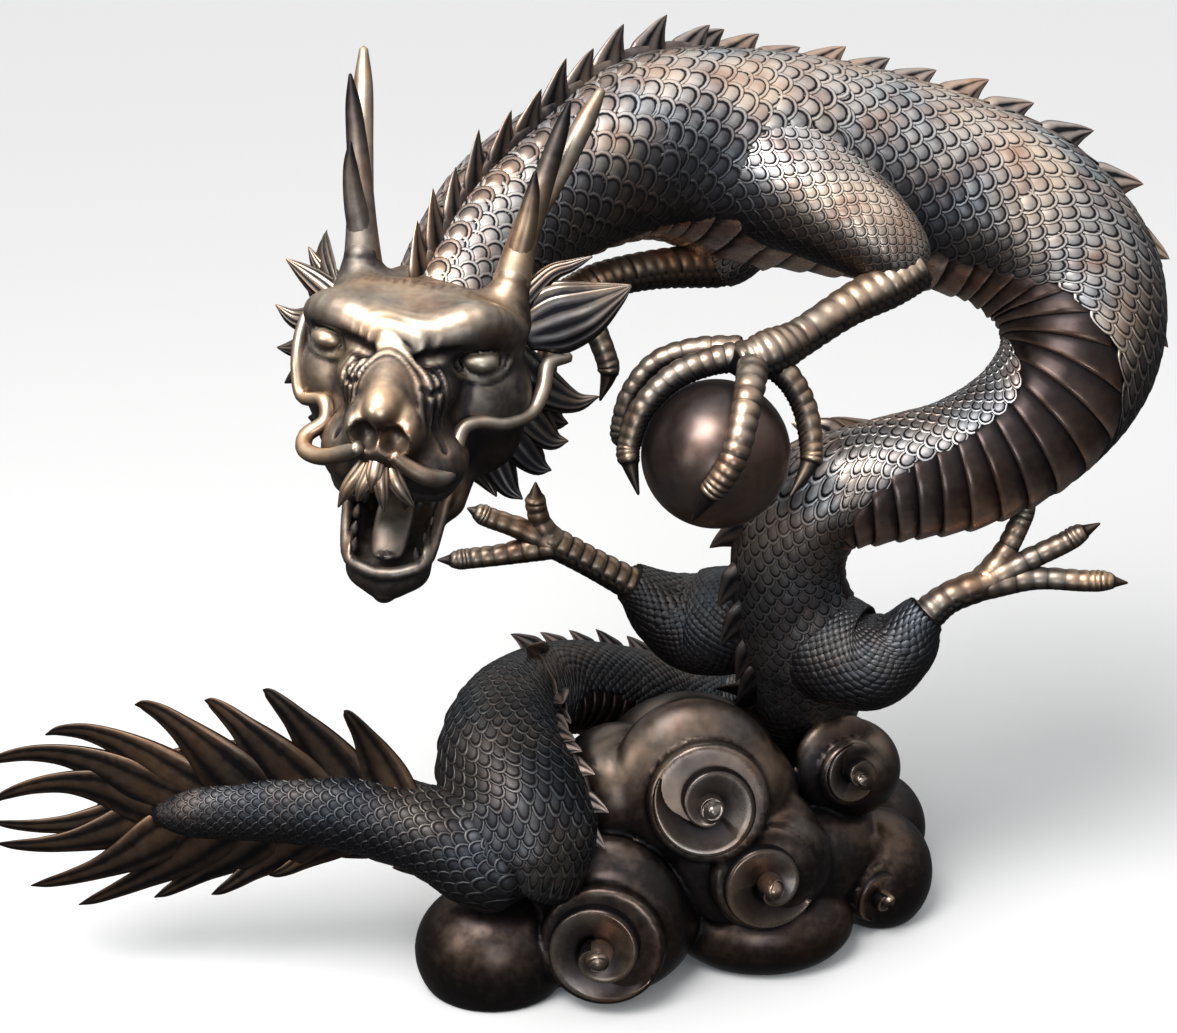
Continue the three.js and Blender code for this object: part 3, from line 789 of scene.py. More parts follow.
def head_rub(p):
    """Where the head is rubbed pale: forehead, brows, cheeks, nose and the rim of the jaw."""
    q, _ = skew(p)
    y, z = q[..., 1], q[..., 2]
    nose = ellipsoid(q, (0, -146, -24), (24, 26, 18)) / 8.0
    eyes = np.abs(ellipsoid(q, EYE, EYE_RADII)) / 2.5
    cheeks = ellipsoid(q, (76, -30, -34), (44, 40, 34)) / 16
    rim = np.abs(smooth_chain(q, JAW_RIM, 4)) / 3.0
    rub = 0.4 * np.clip((z - 20) / 12, 0, 1) * np.clip((-y + 50) / 60, 0, 1)
    rub = np.maximum(rub, 0.8 * np.clip(1 - nose, 0, 1) * (z > -42))
    for share, distance in ((0.8, eyes), (0.25, cheeks), (0.2, rim)):
        rub = np.maximum(rub, share * np.clip(1 - distance, 0, 1))
    return np.maximum(rub, 0.12)


def leaf(stations, thin, flat, grooves, sides, per_span, depth):
    """A pointed leaf or tuft, thin along one way, with grooves running to its tip."""
    def wave(t, angle):
        return 1 + depth * np.cos(angle * grooves) * np.clip(t * 6, 0, 1)
    points, faces, swelled, t = loft(stations, sides, per_span, thin, flat, wave)
    relief = np.clip(0.45 + (swelled - 1) / depth * 0.5, 0, 1)
    return points, faces, relief, t


# Antlers as tines of (x, y, z, radius) in the head's axes, from the forehead to the tip.
ANTLERS = [
    [(-70, 52, 60, 22), (-78, 62, 104, 17), (-92, 86, 160, 13), (-108, 104, 220, 9), (-116, 110, 254, 2)],
    [(-75, 58, 92, 15), (-86, 56, 130, 12), (-94, 58, 166, 8), (-97, 60, 192, 2)],
    [(-84, 80, 130, 12), (-100, 122, 180, 12), (-112, 152, 235, 11), (-119, 168, 274, 5)],
    [(92, 52, 66, 22), (96, 62, 108, 17), (106, 86, 166, 13), (117, 104, 226, 9), (123, 110, 258, 2)],
    [(94, 58, 96, 15), (100, 56, 132, 12), (103, 58, 166, 8), (103, 60, 189, 2)],
    [(102, 80, 136, 12), (120, 122, 186, 12), (136, 152, 236, 11), (146, 168, 266, 5)],
]
# Ears, then the tufts of the mane, as (x, y, z, half breadth).
EARS = [
    [(112, 44, 22, 22), (142, 54, 38, 36), (172, 60, 52, 30), (200, 67, 70, 14), (216, 70, 82, 2)],
    [(-104, 50, 26, 22), (-126, 84, 42, 28), (-140, 130, 56, 18), (-148, 176, 66, 2)],
]
MANE = [
    [(104, 46, 50, 12), (130, 58, 84, 9), (152, 64, 96, 6), (172, 66, 108, 1)],
    [(100, 44, -8, 22), (140, 54, -40, 20), (172, 64, -52, 11), (196, 70, -44, 1)],
    [(96, 42, -40, 22), (128, 52, -76, 20), (152, 58, -96, 12), (170, 60, -96, 1)],
    [(90, 42, -66, 22), (118, 50, -104, 20), (140, 54, -126, 12), (156, 54, -130, 1)],
    [(78, 38, -92, 20), (98, 44, -130, 18), (114, 44, -154, 11), (130, 42, -164, 1)],
    [(92, 70, -30, 22), (124, 92, -66, 20), (146, 104, -88, 12), (160, 110, -92, 1)],
    [(84, 74, -70, 22), (108, 92, -110, 20), (124, 100, -134, 11), (134, 104, -150, 1)],
    [(60, 60, -100, 22), (72, 70, -140, 18), (84, 72, -160, 10), (96, 70, -176, 1)],
    [(-92, 44, 24, 16), (-118, 50, 38, 13), (-138, 54, 48, 8), (-156, 54, 58, 1)],
    [(-90, 60, 22, 15), (-114, 74, 40, 12), (-130, 82, 52, 7), (-142, 88, 66, 1)],
    [(-94, 44, 0, 18), (-124, 54, -6, 15), (-146, 58, -6, 9), (-166, 60, 4, 1)],
    [(-96, 44, -22, 18), (-126, 56, -36, 14), (-146, 60, -42, 8), (-162, 62, -44, 1)],
    [(-96, 46, -42, 18), (-122, 58, -62, 14), (-140, 64, -74, 8), (-152, 66, -84, 1)],
    [(-94, 50, -52, 20), (-118, 70, -76, 16), (-132, 84, -84, 9), (-144, 92, -84, 1)],
    [(-84, 50, -84, 20), (-104, 70, -112, 16), (-118, 84, -124, 9), (-130, 92, -128, 1)],
]
TUFT = [
    [(6, -128, -76, 9), (-6, -140, -98, 9), (-18, -142, -118, 7), (-27, -138, -140, 1)],
    [(8, -132, -78, 8), (4, -146, -98, 8), (-2, -148, -114, 6), (-6, -144, -128, 1)],
    [(12, -132, -78, 8), (16, -146, -98, 8), (20, -148, -116, 6), (22, -144, -134, 1)],
    [(16, -128, -78, 9), (28, -140, -98, 9), (38, -140, -112, 7), (50, -134, -128, 1)],
    [(10, -136, -74, 7), (10, -148, -92, 8), (9, -150, -104, 5), (8, -148, -114, 1)],
]
TONGUE = [
    (12, -16, -138, 15), (13, -44, -156, 19), (15, -72, -178, 20), (17, -92, -198, 17), (18, -104, -198, 9),
    (18, -108, -190, 3),
]
# Teeth by the place of their roots, and for the upper ones how far they hang down as well.
LOWER_TEETH = [(50, -20, -150), (49, -36, -164), (48, -52, -178), (45, -68, -191), (40, -84, -203)]
UPPER_TEETH = [
    (58, -40, -126, 15), (54, -58, -131, 13), (48, -76, -134, 22), (38, -92, -134, 13),
    (26, -102, -132, 11),
]

def cone_tooth(root, tip, radius):
    root, tip = np.array(root, float), np.array(tip, float)
    middle = root * 0.45 + tip * 0.55
    stations = [(*root, radius), (*middle, radius * 0.8), (*tip, radius * 0.15)]
    points, faces, _, _ = loft(stations, 8, 3, (0.3, 0.2, 1))
    return points, faces


# A fin as (pitches along, heights up, half breadth in pitches), from its foot to its hooked tip.
FIN_PROFILE = [
    (-0.06, -0.12, 0.72), (0.0, 0.14, 0.64), (0.09, 0.34, 0.50), (0.22, 0.56, 0.34),
    (0.38, 0.78, 0.20), (0.54, 0.95, 0.08), (0.62, 1.03, 0.01),
]
# The length of the ridge under the fins, in mm, that gets one ring of points.
RIDGE_STEP = 16


def fin_row(heap, form, start, end, pitch, height):
    """Hooked fins along the spine, leaning towards the tail, on a low ridge."""
    s, limit = form.s_of(start), form.s_of(end)
    k = 0
    while s < limit:
        here = np.array(s)
        along, up, across = (form.at(way, here) for way in (form.along, form.up, form.across))
        root = form.at(form.centre, here) + up * (form.radius_at(s) * 0.93)
        tall = height * (1 + 0.14 * math.sin(k * 2.4))
        stations = [(*(root + along * (a * pitch) + up * (u * tall)), w * pitch) for a, u, w in FIN_PROFILE]
        points, faces, relief, t = leaf(stations, across, 0.22, 6, 14, 3, 0.07)
        heap.add(points, faces, relief=relief, tone=(k * 0.37) % 1, rub=0.14 + 0.4 * t)
        s += pitch
        k += 1
    first, last = form.s_of(start), form.s_of(end)
    count = max(int((last - first) / RIDGE_STEP), 4)
    s = np.clip(np.linspace(first - pitch * 0.6, last + pitch * 0.4, count), 0, form.length)
    path = form.point(s, np.zeros(count), -0.06 * height)
    up, side = form.at(form.up, s) * height, form.at(form.across, s) * height * 0.16
    low, high = path - up * 0.3, path + up * 0.24
    ring = [low + side * 1.4, high + side * 0.6, high + up * 0.06, high - side * 0.6, low - side * 1.4]
    faces = [f[::-1] for f in ring_faces(count, len(ring))]
    heap.add(np.stack(ring, 1), faces, relief=0.4, rub=0.1)


def scute_row(heap, form, start, end, pitch, width, angle, raised):
    """A row of large smooth scales along a form at an angle from the spine."""
    template, faces = BIG_SHIELD
    across, along, up = template.T
    s, limit = form.s_of(start), form.s_of(end)
    k = 0
    while s < limit:
        at_s = np.clip(s + along * width * 0.6, 0, form.length)
        at_angle = math.radians(angle) + across * width * 0.5 / form.radius_at(s)
        lift = (up + 0.3 * along) * width * raised
        points = form.point(at_s, at_angle) + form.out(at_s, at_angle) * lift[:, None]
        relief = SHIELD_RELIEF[len(template)]
        heap.add(points, faces, relief=relief, tone=(k * 0.61) % 1, rub=0.05, dark=0.3)
        s += pitch
        k += 1


# Lower limbs and toes as (x, y, z, radius), from the body outwards.
NEAR_FOREARM = [
    (384, -60, 896, 30), (350, -78, 878, 27), (300, -104, 860, 23), (243, -142, 836, 22),
    (205, -168, 826, 27), (172, -178, 816, 20),
]
FAR_FOREARM = [(162, 64, 856, 27), (80, 10, 868, 23), (14, -40, 870, 22), (-20, -66, 858, 24)]
NEAR_SHIN = [(406, -117, 448, 21), (420, -116, 464, 21), (448, -108, 484, 19), (505, -92, 500, 20)]
FAR_SHIN = [(78, 20, 420, 21), (56, 18, 437, 21), (0, 12, 474, 19), (-58, 10, 509, 20)]
FREE_TOES = [
    [(-15, -60, 858, 17), (5, -66, 825, 14), (20, -74, 790, 13), (24, -78, 768, 12), (14, -88, 738, 2)],
    [
        (-15, -60, 858, 17), (-38, -98, 834, 13), (-48, -118, 800, 12), (-48, -120, 782, 11),
        (-40, -118, 755, 2),
    ],
    [(-15, -60, 858, 17), (-35, -30, 825, 13), (-44, -20, 795, 12), (-45, -22, 778, 11), (-40, -30, 752, 2)],
    [(490, -95, 495, 20), (516, -80, 532, 14), (532, -70, 564, 13), (540, -65, 586, 12), (549, -60, 608, 2)],
    [(490, -95, 495, 20), (540, -93, 526, 14), (584, -92, 550, 13), (602, -91, 562, 12), (626, -90, 576, 2)],
    [
        (490, -95, 495, 20), (552, -101, 506, 14), (610, -112, 508, 13), (634, -116, 510, 12),
        (660, -120, 510, 2),
    ],
    [(-45, 10, 500, 20), (-60, 10, 528, 14), (-66, 10, 552, 13), (-67, 10, 566, 12), (-67, 10, 586, 2)],
    [(-45, 10, 500, 20), (-90, 7, 524, 14), (-126, 3, 540, 13), (-138, 2, 547, 12), (-153, 0, 555, 2)],
    [(-45, 10, 500, 20), (-104, 1, 490, 14), (-150, -4, 486, 13), (-168, -8, 486, 12), (-192, -10, 487, 2)],
]
# Toes that grip the pearl, measured from its centre.
PEARL_TOES = [
    [
        (40, 14, 110, 18), (34, -34, 100, 17), (25, -72, 72, 16), (14, -94, 36, 15), (-2, -98, 8, 14),
        (-12, -96, -8, 13), (-30, -84, -46, 2),
    ],
    [
        (36, 28, 110, 18), (-8, 24, 104, 16), (-52, 12, 88, 15), (-86, -4, 56, 14), (-100, -16, 18, 13),
        (-100, -26, 2, 12), (-90, -42, -32, 2),
    ],
    [
        (30, 44, 110, 17), (-20, 50, 108, 15), (-66, 48, 94, 14), (-96, 36, 62, 13), (-108, 24, 28, 12),
        (-108, 20, 10, 11), (-96, 18, -22, 2),
    ],
    [
        (56, 26, 108, 17), (84, 16, 84, 15), (102, 8, 50, 14), (109, -6, 10, 13), (106, -16, -8, 12),
        (84, -40, -36, 2),
    ],
    [
        (52, 44, 106, 16), (54, 72, 86, 14), (50, 94, 54, 13), (38, 104, 8, 12), (32, 102, -10, 11),
        (20, 90, -44, 2),
    ],
]

def from_top(angle):
    """The angle from the top of a limb, either way round."""
    return np.abs((angle + np.pi) % (2 * np.pi) - np.pi)


def ridges(share, plates):
    """The swell of each plate along a limb, with sharp dips between plates."""
    return np.abs(np.sin(np.pi * share * plates)) ** 0.45


# The pitch of the plates on a toe and on a lower limb, in mm, and the points round each.
TOE_PITCH, LIMB_PITCH = 13, 14
TOE_SIDES, LIMB_SIDES = 16, 40
# The length of limb in mm that gets one ring of points.
TOE_RING, LIMB_RING = 2.4, 2.6


def toe(heap, stations, up):
    """A plated toe ending in a smooth pointed claw."""
    stations = np.array(stations, float)
    steps = np.linalg.norm(np.diff(stations[:, :3], axis=0), axis=1)
    length, claw = steps.sum(), steps[-1]
    begin = 1 - claw / length
    plates = max(round(length * begin / TOE_PITCH), 2)
    def wave(t, angle):
        share = np.clip(t / begin, 0, 1)
        top = np.clip((1.7 - from_top(angle)) * 3, 0, 1)
        grain = 0.05 * np.cos(share * plates * 4 * np.pi) * np.cos(angle * 9)
        bare = np.clip((t - begin) / 0.02, 0, 1)
        plated = top * (0.16 * ridges(share, plates) - 0.05) + (1 - top) * grain
        return 1 + (1 - bare) * plated - 0.14 * bare
    per_span = max(int(length / len(steps) / TOE_RING), 5)
    points, faces, swelled, t = loft(stations, TOE_SIDES, per_span, up, 1.0, wave)
    claw_part = np.clip((t - begin) / 0.03, 0, 1)
    relief = np.clip(0.5 + (swelled - 1.04) * 5, 0, 1) * (1 - claw_part) + 0.55 * claw_part
    heap.add(points, faces, relief=relief, rub=(0.08 + 0.5 * relief) * (1 - claw_part), dark=0.5 * claw_part)


def plated_arm(heap, stations, up):
    """A lower limb with a row of plates along its top and finer scales round the rest."""
    stations = np.array(stations, float)
    steps = np.linalg.norm(np.diff(stations[:, :3], axis=0), axis=1)
    length = steps.sum()
    plates = round(length / LIMB_PITCH)
    def wave(t, angle):
        a = from_top(angle)
        top = np.clip((1.1 - a) * 4, 0, 1)
        row = np.abs(np.sin(np.pi * (t * plates * 1.5 + 0.5 * (np.floor(a * 2.6) % 2)))) ** 0.5
        cell = np.abs(np.sin(a * 2.6 * np.pi)) ** 0.5
        return 1 + top * (0.13 * ridges(t, plates) - 0.04) + (1 - top) * (0.09 * row * cell - 0.05)
    per_span = max(int(length / len(steps) / LIMB_RING), 6)
    points, faces, swelled, t = loft(stations, LIMB_SIDES, per_span, up, 1.0, wave)
    relief = np.clip(0.5 + (swelled - 1.02) * 6, 0, 1)
    heap.add(points, faces, relief=relief, rub=0.06 + 0.42 * relief)


# Flame blades of the tail fan as (root x, root z, tip x, tip z, breadth).
BLADES = [
    (-236, 262, -294, 392, 26), (-292, 270, -391, 417, 32), (-348, 272, -462, 402, 34),
    (-410, 272, -547, 395, 34), (-466, 265, -660, 352, 32), (-500, 257, -740, 312, 30),
    (-515, 249, -735, 262, 30), (-517, 246, -742, 232, 26), (-515, 242, -738, 196, 30),
    (-494, 235, -701, 134, 30), (-455, 225, -644, 104, 30), (-412, 215, -547, 117, 30),
    (-362, 210, -473, 127, 28), (-312, 208, -399, 154, 24),
]


# The web that the blades stand on, as (x, y, z, half breadth).
FAN_WEB = [
    (-236, -214, 236, 34), (-330, -214, 245, 80), (-430, -214, 248, 92), (-520, -214, 248, 76),
    (-575, -214, 248, 44), (-605, -214, 248, 6),
]


# A blade's outline as (share of its length, share of its bend, share of its breadth).
BLADE_SHAPE = [
    (-0.2, -0.1, 0.95), (0.02, 0.1, 1.05), (0.2, 0.45, 1.0), (0.38, 0.85, 0.74),
    (0.56, 1.0, 0.48), (0.74, 0.85, 0.33), (0.9, 0.45, 0.2), (1.0, 0.0, 0.03),
]
# How far behind or before the middle the fan stands, in mm. The front is the negative way.
FAN_Y = -222


def tail_blade(heap, root_x, root_z, tip_x, tip_z, breadth, k):
    """One flame of the tail fan: broad where it joins the web, grooved, curling to a dark tip."""
    run, climb = tip_x - root_x, tip_z - root_z
    length = math.hypot(run, climb)
    sweep, side = (0.14 * length, 1) if climb > 0 else (-0.05 * length, -1)
    stations = []
    for t, bend, width in BLADE_SHAPE:
        x = root_x + run * t - climb / length * sweep * bend * side * 0.3
        y = FAN_Y + 3 * math.sin(k * 1.9) + 5 * math.sin(t * 5 + k)
        z = root_z + climb * t + sweep * bend
        stations.append((x, y, z, breadth * width))
    points, faces, relief, t = leaf(stations, (0, 1, 0), 0.2, 6, 24, 7, 0.08)
    dark_tip = np.clip((t - 0.66) * 2.6, 0, 1)
    heap.add(points, faces, relief=relief * 0.8, tone=(k * 0.41) % 1, rub=0.13, dark=dark_tip)


# Cloud lobes as (x, y, z, radius across, deep, high).
LOBES = [
    (132, -60, 215, 116, 100, 92), (148, -126, 204, 122, 88, 110), (226, -170, 140, 86, 62, 80),
    (30, -190, 70, 112, 94, 104), (-122, -214, 34, 100, 84, 92), (344, -50, 204, 66, 66, 64),
    (388, -54, 44, 74, 76, 84), (396, 44, 52, 70, 82, 72), (224, -150, 34, 122, 84, 66),
    (-70, -80, 60, 100, 116, 92), (60, 70, 70, 124, 124, 88), (250, 100, 66, 150, 116, 88),
    (190, -50, 90, 200, 150, 110), (40, -112, 200, 90, 80, 98),
]
# Scrolls as (x, y, z, radius, turn and tilt in degrees, hand of the spiral, where it starts in degrees,
# and how many turns it makes).
SCROLLS = [
    (150, -214, 250, 72, 4, -20, 1, 150, 1.45), (224, -230, 148, 66, 12, -12, -1, 330, 1.4),
    (16, -280, 82, 74, -8, -12, -1, 330, 1.6), (342, -110, 228, 42, 24, -10, 1, 90, 1.4),
    (384, -124, 54, 40, 34, 0, -1, 250, 1.4), (330, 174, 92, 44, 160, -10, 1, 0, 1.5),
    (60, 178, 78, 56, 184, -10, -1, 0, 1.5),
]
# The height in mm at which the clouds are cut off level.
GROUND = -12


def scroll_axes(turn, tilt):
    """The way a scroll faces, and the two ways across it."""
    a, b = math.radians(turn), math.radians(tilt)
    out = np.array([math.sin(a) * math.cos(b), -math.cos(a) * math.cos(b), -math.sin(b)])
    across = np.array([math.cos(a), math.sin(a), 0.0])
    return out, across, np.cross(out, across)


def depth_and_reach(q, out, across, up):
    """How far points stand out along a scroll's axis, and how far they are from it."""
    return q @ out, np.sqrt((q @ across) ** 2 + (q @ up) ** 2)


def cloud_field(p):
    """Rounded lobes, with a disc and a collar of cloud behind each scroll, cut off level at the ground."""
    f = np.inf
    for x, y, z, *radii in LOBES:
        f = smin(f, ellipsoid(p, (x, y, z), radii), 6)
    for x, y, z, radius, turn, tilt, *_ in SCROLLS:
        out, across, up = scroll_axes(turn, tilt)
        middle = np.array([x, y, z])
        collar_at = middle + radius * (0.24 * up - 0.14 * across - 0.80 * out)
        depth, far = depth_and_reach(p - collar_at, out, across, up)
        wide, deep = 1.5 * radius, 0.52 * radius
        size = np.sqrt((far / wide) ** 2 + (depth / deep) ** 2)
        slope = np.sqrt((far / wide**2) ** 2 + (depth / deep**2) ** 2)
        f = smin(f, size * (size - 1) / np.maximum(slope, 1e-6), 4)
        depth, far = depth_and_reach(p - middle, out, across, up)
        disc = smax(np.abs(depth + 0.3 * radius) - 0.27 * radius, far - 1.06 * radius, 8)
        f = smin(f, disc, 3)
    return smax(f, GROUND - p[..., 2], 3)


# A scroll's ribbon in section as (share across, radii up, relief).
SCROLL_PROFILE = [
    (0.0, -0.7, 0.0), (0.0, -0.16, 0.0), (0.015, -0.07, 0.2), (0.07, -0.01, 0.8), (0.14, 0.0, 1.0),
    (0.26, -0.02, 0.8), (0.5, -0.06, 0.55), (0.8, -0.09, 0.4), (1.02, -0.12, 0.0), (1.04, -0.7, 0.0),
]
# The knob in a scroll's middle as (sizes out, sizes to the side, radius in sizes), and its size in radii.
SCROLL_KNOB = [(-1.4, 0, 1.2), (0.3, 0, 1.05), (0.7, -0.16, 0.8), (0.98, -0.34, 0.42)]
KNOB_SIZE = 0.2


def scroll(heap, x, y, z, radius, turn, tilt, hand, start, turns):
    """A broad ribbon of cloud that winds in, one step higher each turn, to a raised knob."""
    out, across, up = scroll_axes(turn, tilt)
    middle = np.array([x, y, z])
    steps, n = int(60 * turns), len(SCROLL_PROFILE)
    share = np.linspace(0, 1, steps)
    phase = 2 * np.pi * turns * share
    later = share + 1 / turns
    outer = radius * (1 - 0.80 * share**1.5)
    inner = np.where(later < 1, radius * (1 - 0.80 * np.clip(later, 0, 1) ** 1.5), radius * 0.02)
    band = (outer - inner) * np.clip(0.3 + phase / 1.2, 0, 1)
    height = radius * (0.03 + 0.25 * turns * share + 0.12 * np.clip((share - 0.62) / 0.38, 0, 1) ** 1.5)
    angle = math.radians(start) + hand * phase
    rings = []
    for part, drop, _ in SCROLL_PROFILE:
        r = outer - band * part
        spot = middle + (r * np.cos(angle))[:, None] * across + (r * np.sin(angle))[:, None] * up
        rings.append(spot + (height + drop * radius)[:, None] * out)
    faces = ring_faces(steps, n)
    if hand < 0:
        faces = [f[::-1] for f in faces]
    relief = np.tile([value for _, _, value in SCROLL_PROFILE], steps)
    heap.add(np.stack(rings, 1), faces, relief=relief, rub=0.03 + 0.55 * relief**2)
    side = across * math.cos(angle[-1]) + up * math.sin(angle[-1])
    root = middle + out * (height[-1] - 0.12 * radius)
    size = radius * KNOB_SIZE
    stations = [(*(root + out * size * far + side * size * aside), size * r) for far, aside, r in SCROLL_KNOB]
    points, faces, _, _ = loft(stations, 20, 6, tuple(up))
    heap.add(points, faces, relief=0.8, rub=0.3)


def finish_piece(piece, material, slot, *nodes):
    piece.data.materials.append(material)
    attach(piece, "root")
    if nodes:
        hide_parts(*nodes)
    return piece


# ---------------------------------------------------------------- finishes
# The patina's inputs: colours, then the numbers that a finish sets, then those that each point drives.
PATINA_COLOURS = {
    "Hollow": (0.01, 0.008, 0.007, 1), "Flat": (0.06, 0.045, 0.036, 1), "Rubbed": (0.4, 0.29, 0.2, 1),
}
PATINA_NUMBERS = {"Wear": 0.5, "Grain": 1.0, "Gloss": 0.0, "Painted_light_share": 1.0}
POINT_VALUES = {"Relief": 0.5, "Rub": 0.0, "Tone": 0.5, "Shelter": 0.0, "Painted_light": 0.0, "Dark": 0.0}
# Each noise's scale and detail: broad patches, blushes, fine unevenness and the grain of the casting.
NOISES = {"broad": (9.0, 3.0), "blush": (24.0, 3.0), "fine": (90.0, 4.0), "grain": (420.0, 2.0)}
# Tints of the rubbed metal and of the cool and warm patches, and the black of the painted shade on downward
# faces and of claws and dark tips.
BLUSH_TINT, COOL_TINT, WARM_TINT = (0.66, 0.52, 0.48, 1), (0.84, 0.95, 1.08, 1), (1.08, 0.98, 0.88, 1)
PAINTED_SHADE_AND_CLAW_BLACK = (0.010, 0.008, 0.009, 1)
# The metal's share, and the strength and depth in metres of its casting grain.
METALLIC, BUMP_STRENGTH, BUMP_DEPTH = 0.9, 0.12, 0.0012


class Wiring:
    """Adds nodes to a shader tree and joins them up."""

    def __init__(self, tree):
        self.nodes, self.links = tree.nodes, tree.links

    def feed(self, value, into):
        """Links another node's output, or sets a plain number or colour."""
        if isinstance(value, bpy.types.NodeSocket):
            self.links.new(value, into)
        else:
            into.default_value = value

    def math(self, kind, a, b, clamp=False):
        node = self.nodes.new("ShaderNodeMath")
        node.operation, node.use_clamp = kind, clamp
        self.feed(a, node.inputs[0])
        self.feed(b, node.inputs[1])
        return node.outputs[0]

    def plus(self, a, b, clamp=False):
        return self.math("ADD", a, b, clamp)

    def minus(self, a, b):
        return self.math("SUBTRACT", a, b)

    def times(self, a, b, clamp=False):
        return self.math("MULTIPLY", a, b, clamp)

    def ramp(self, value, start, steepness):
        """0 below the start, climbing to 1."""
        return self.times(self.minus(value, start), steepness, clamp=True)

    def mix(self, factor, a, b, blend="MIX"):
        node = self.nodes.new("ShaderNodeMix")
        node.data_type, node.blend_type = "RGBA", blend
        for value, index in ((factor, 0), (a, 6), (b, 7)):
            self.feed(value, node.inputs[index])
        return node.outputs[2]

    def noise(self, scale, detail):
        node = self.nodes.new("ShaderNodeTexNoise")
        self.feed(self.nodes.new("ShaderNodeTexCoord").outputs["Object"], node.inputs["Vector"])
        self.feed(scale, node.inputs["Scale"])
        self.feed(detail, node.inputs["Detail"])
        return node.outputs["Fac"]


def add_sockets(group):
    """Gives the patina group its named inputs and outputs."""
    inputs = {**PATINA_COLOURS, **POINT_VALUES, **PATINA_NUMBERS}
    for name, value in inputs.items():
        kind = "NodeSocketColor" if name in PATINA_COLOURS else "NodeSocketFloat"
        socket = group.interface.new_socket(name=name, in_out="INPUT", socket_type=kind)
        socket.default_value = value
    group.interface.new_socket(name="Colour", in_out="OUTPUT", socket_type="NodeSocketColor")
    for name in ("Roughness", "Height"):
        group.interface.new_socket(name=name, in_out="OUTPUT", socket_type="NodeSocketFloat")


def patina_group():
    """Aged bronze: dark in the hollows, brown on the flats and rubbed pale where hands and cloths reach, with
    painted light on high upward faces and painted shade blackening downward faces.
    """
    if "aged_bronze" in bpy.data.node_groups:
        return bpy.data.node_groups["aged_bronze"]
    group = bpy.data.node_groups.new("aged_bronze", "ShaderNodeTree")
    add_sockets(group)
    w = Wiring(group)
    given, end = w.nodes.new("NodeGroupInput").outputs, w.nodes.new("NodeGroupOutput").inputs
    noise = {key: w.noise(*numbers) for key, numbers in NOISES.items()}
    uneven = w.minus(w.plus(w.times(noise["broad"], 0.7), w.times(noise["fine"], 0.5)), 0.6)
    high = w.plus(given["Relief"], w.times(uneven, 0.7))
    lit = w.ramp(high, 0.12, 2.2)
    wear_and_painted_light = w.times(w.minus(high, 0.55), given["Wear"])
    wear_and_painted_light = w.plus(wear_and_painted_light, w.times(given["Rub"], w.plus(noise["broad"], 0.35)))
    wear_and_painted_light = w.plus(wear_and_painted_light, w.times(w.minus(given["Tone"], 0.5), 0.12))
    # Painted light: upward faces high on the sculpture turn towards the rubbed colour.
    painted_overhead_light = w.times(w.times(given["Painted_light"], lit), w.plus(noise["broad"], 0.45))
    wear_and_painted_light = w.plus(wear_and_painted_light, w.times(w.times(painted_overhead_light, given["Painted_light_share"]), 0.95), clamp=True)
    pale = w.mix(w.ramp(noise["blush"], 0.46, 4.0), given["Rubbed"], BLUSH_TINT, "MULTIPLY")
    metal = w.mix(wear_and_painted_light, w.mix(lit, given["Hollow"], given["Flat"]), pale)
    mottle = w.mix(w.ramp(noise["broad"], 0.38, 4.0), COOL_TINT, WARM_TINT)
    metal = w.mix(1.0, metal, mottle, "MULTIPLY")
    # Painted shade: downward faces turn black as if in shadow, joined with the real dark of claws and tips.
    shelter = w.times(given["Shelter"], w.plus(noise["broad"], 0.42), clamp=True)
    painted_shade_and_dark_tips = w.math("MAXIMUM", w.times(shelter, 0.92), given["Dark"], clamp=True)
    w.feed(w.mix(painted_shade_and_dark_tips, metal, PAINTED_SHADE_AND_CLAW_BLACK), end["Colour"])
    rough = w.minus(w.plus(w.times(noise["fine"], 0.3), 0.24), w.times(wear_and_painted_light, 0.10))
    rough = w.minus(rough, given["Gloss"])
    w.feed(w.plus(rough, w.times(w.minus(1.0, lit), 0.2), clamp=True), end["Roughness"])
    height = w.plus(w.times(noise["fine"], 0.6), w.times(noise["grain"], 0.4))
    w.feed(w.times(height, given["Grain"]), end["Height"])
    return group


def bronze(name, hollow, flat, rubbed, wear=0.5, grain=1.0, gloss=0.0, painted_light_share=1.0):
    """One bronze finish, with its own colours and wear over the shared patina."""
    if name in bpy.data.materials:
        return bpy.data.materials[name]
    material = bpy.data.materials.new(name)
    material.use_nodes = True
    w = Wiring(material.node_tree)
    group, bump = w.nodes.new("ShaderNodeGroup"), w.nodes.new("ShaderNodeBump")
    group.node_tree = patina_group()
    for key, value in (("Hollow", hollow), ("Flat", flat), ("Rubbed", rubbed)):
        w.feed((*value, 1), group.inputs[key])
    for key, value in (("Wear", wear), ("Grain", grain), ("Gloss", gloss), ("Painted_light_share", painted_light_share)):
        w.feed(value, group.inputs[key])
    for key in POINT_VALUES:
        attribute = w.nodes.new("ShaderNodeAttribute")
        attribute.attribute_name = key.lower()
        w.feed(attribute.outputs["Fac"], group.inputs[key])
    w.feed(BUMP_STRENGTH, bump.inputs["Strength"])
    w.feed(BUMP_DEPTH, bump.inputs["Distance"])
    w.feed(group.outputs["Height"], bump.inputs["Height"])
    shader = w.nodes["Principled BSDF"].inputs
    w.feed(group.outputs["Colour"], shader["Base Color"])
    w.feed(group.outputs["Roughness"], shader["Roughness"])
    w.feed(bump.outputs["Normal"], shader["Normal"])
    w.feed(METALLIC, shader["Metallic"])
    return material


def scaled_bronze(colours):
    """The trunk and the upper forelegs."""
    return bronze("scaled_bronze", colours.hollow, colours.flat, colours.rubbed, wear=0.6, gloss=-0.07)


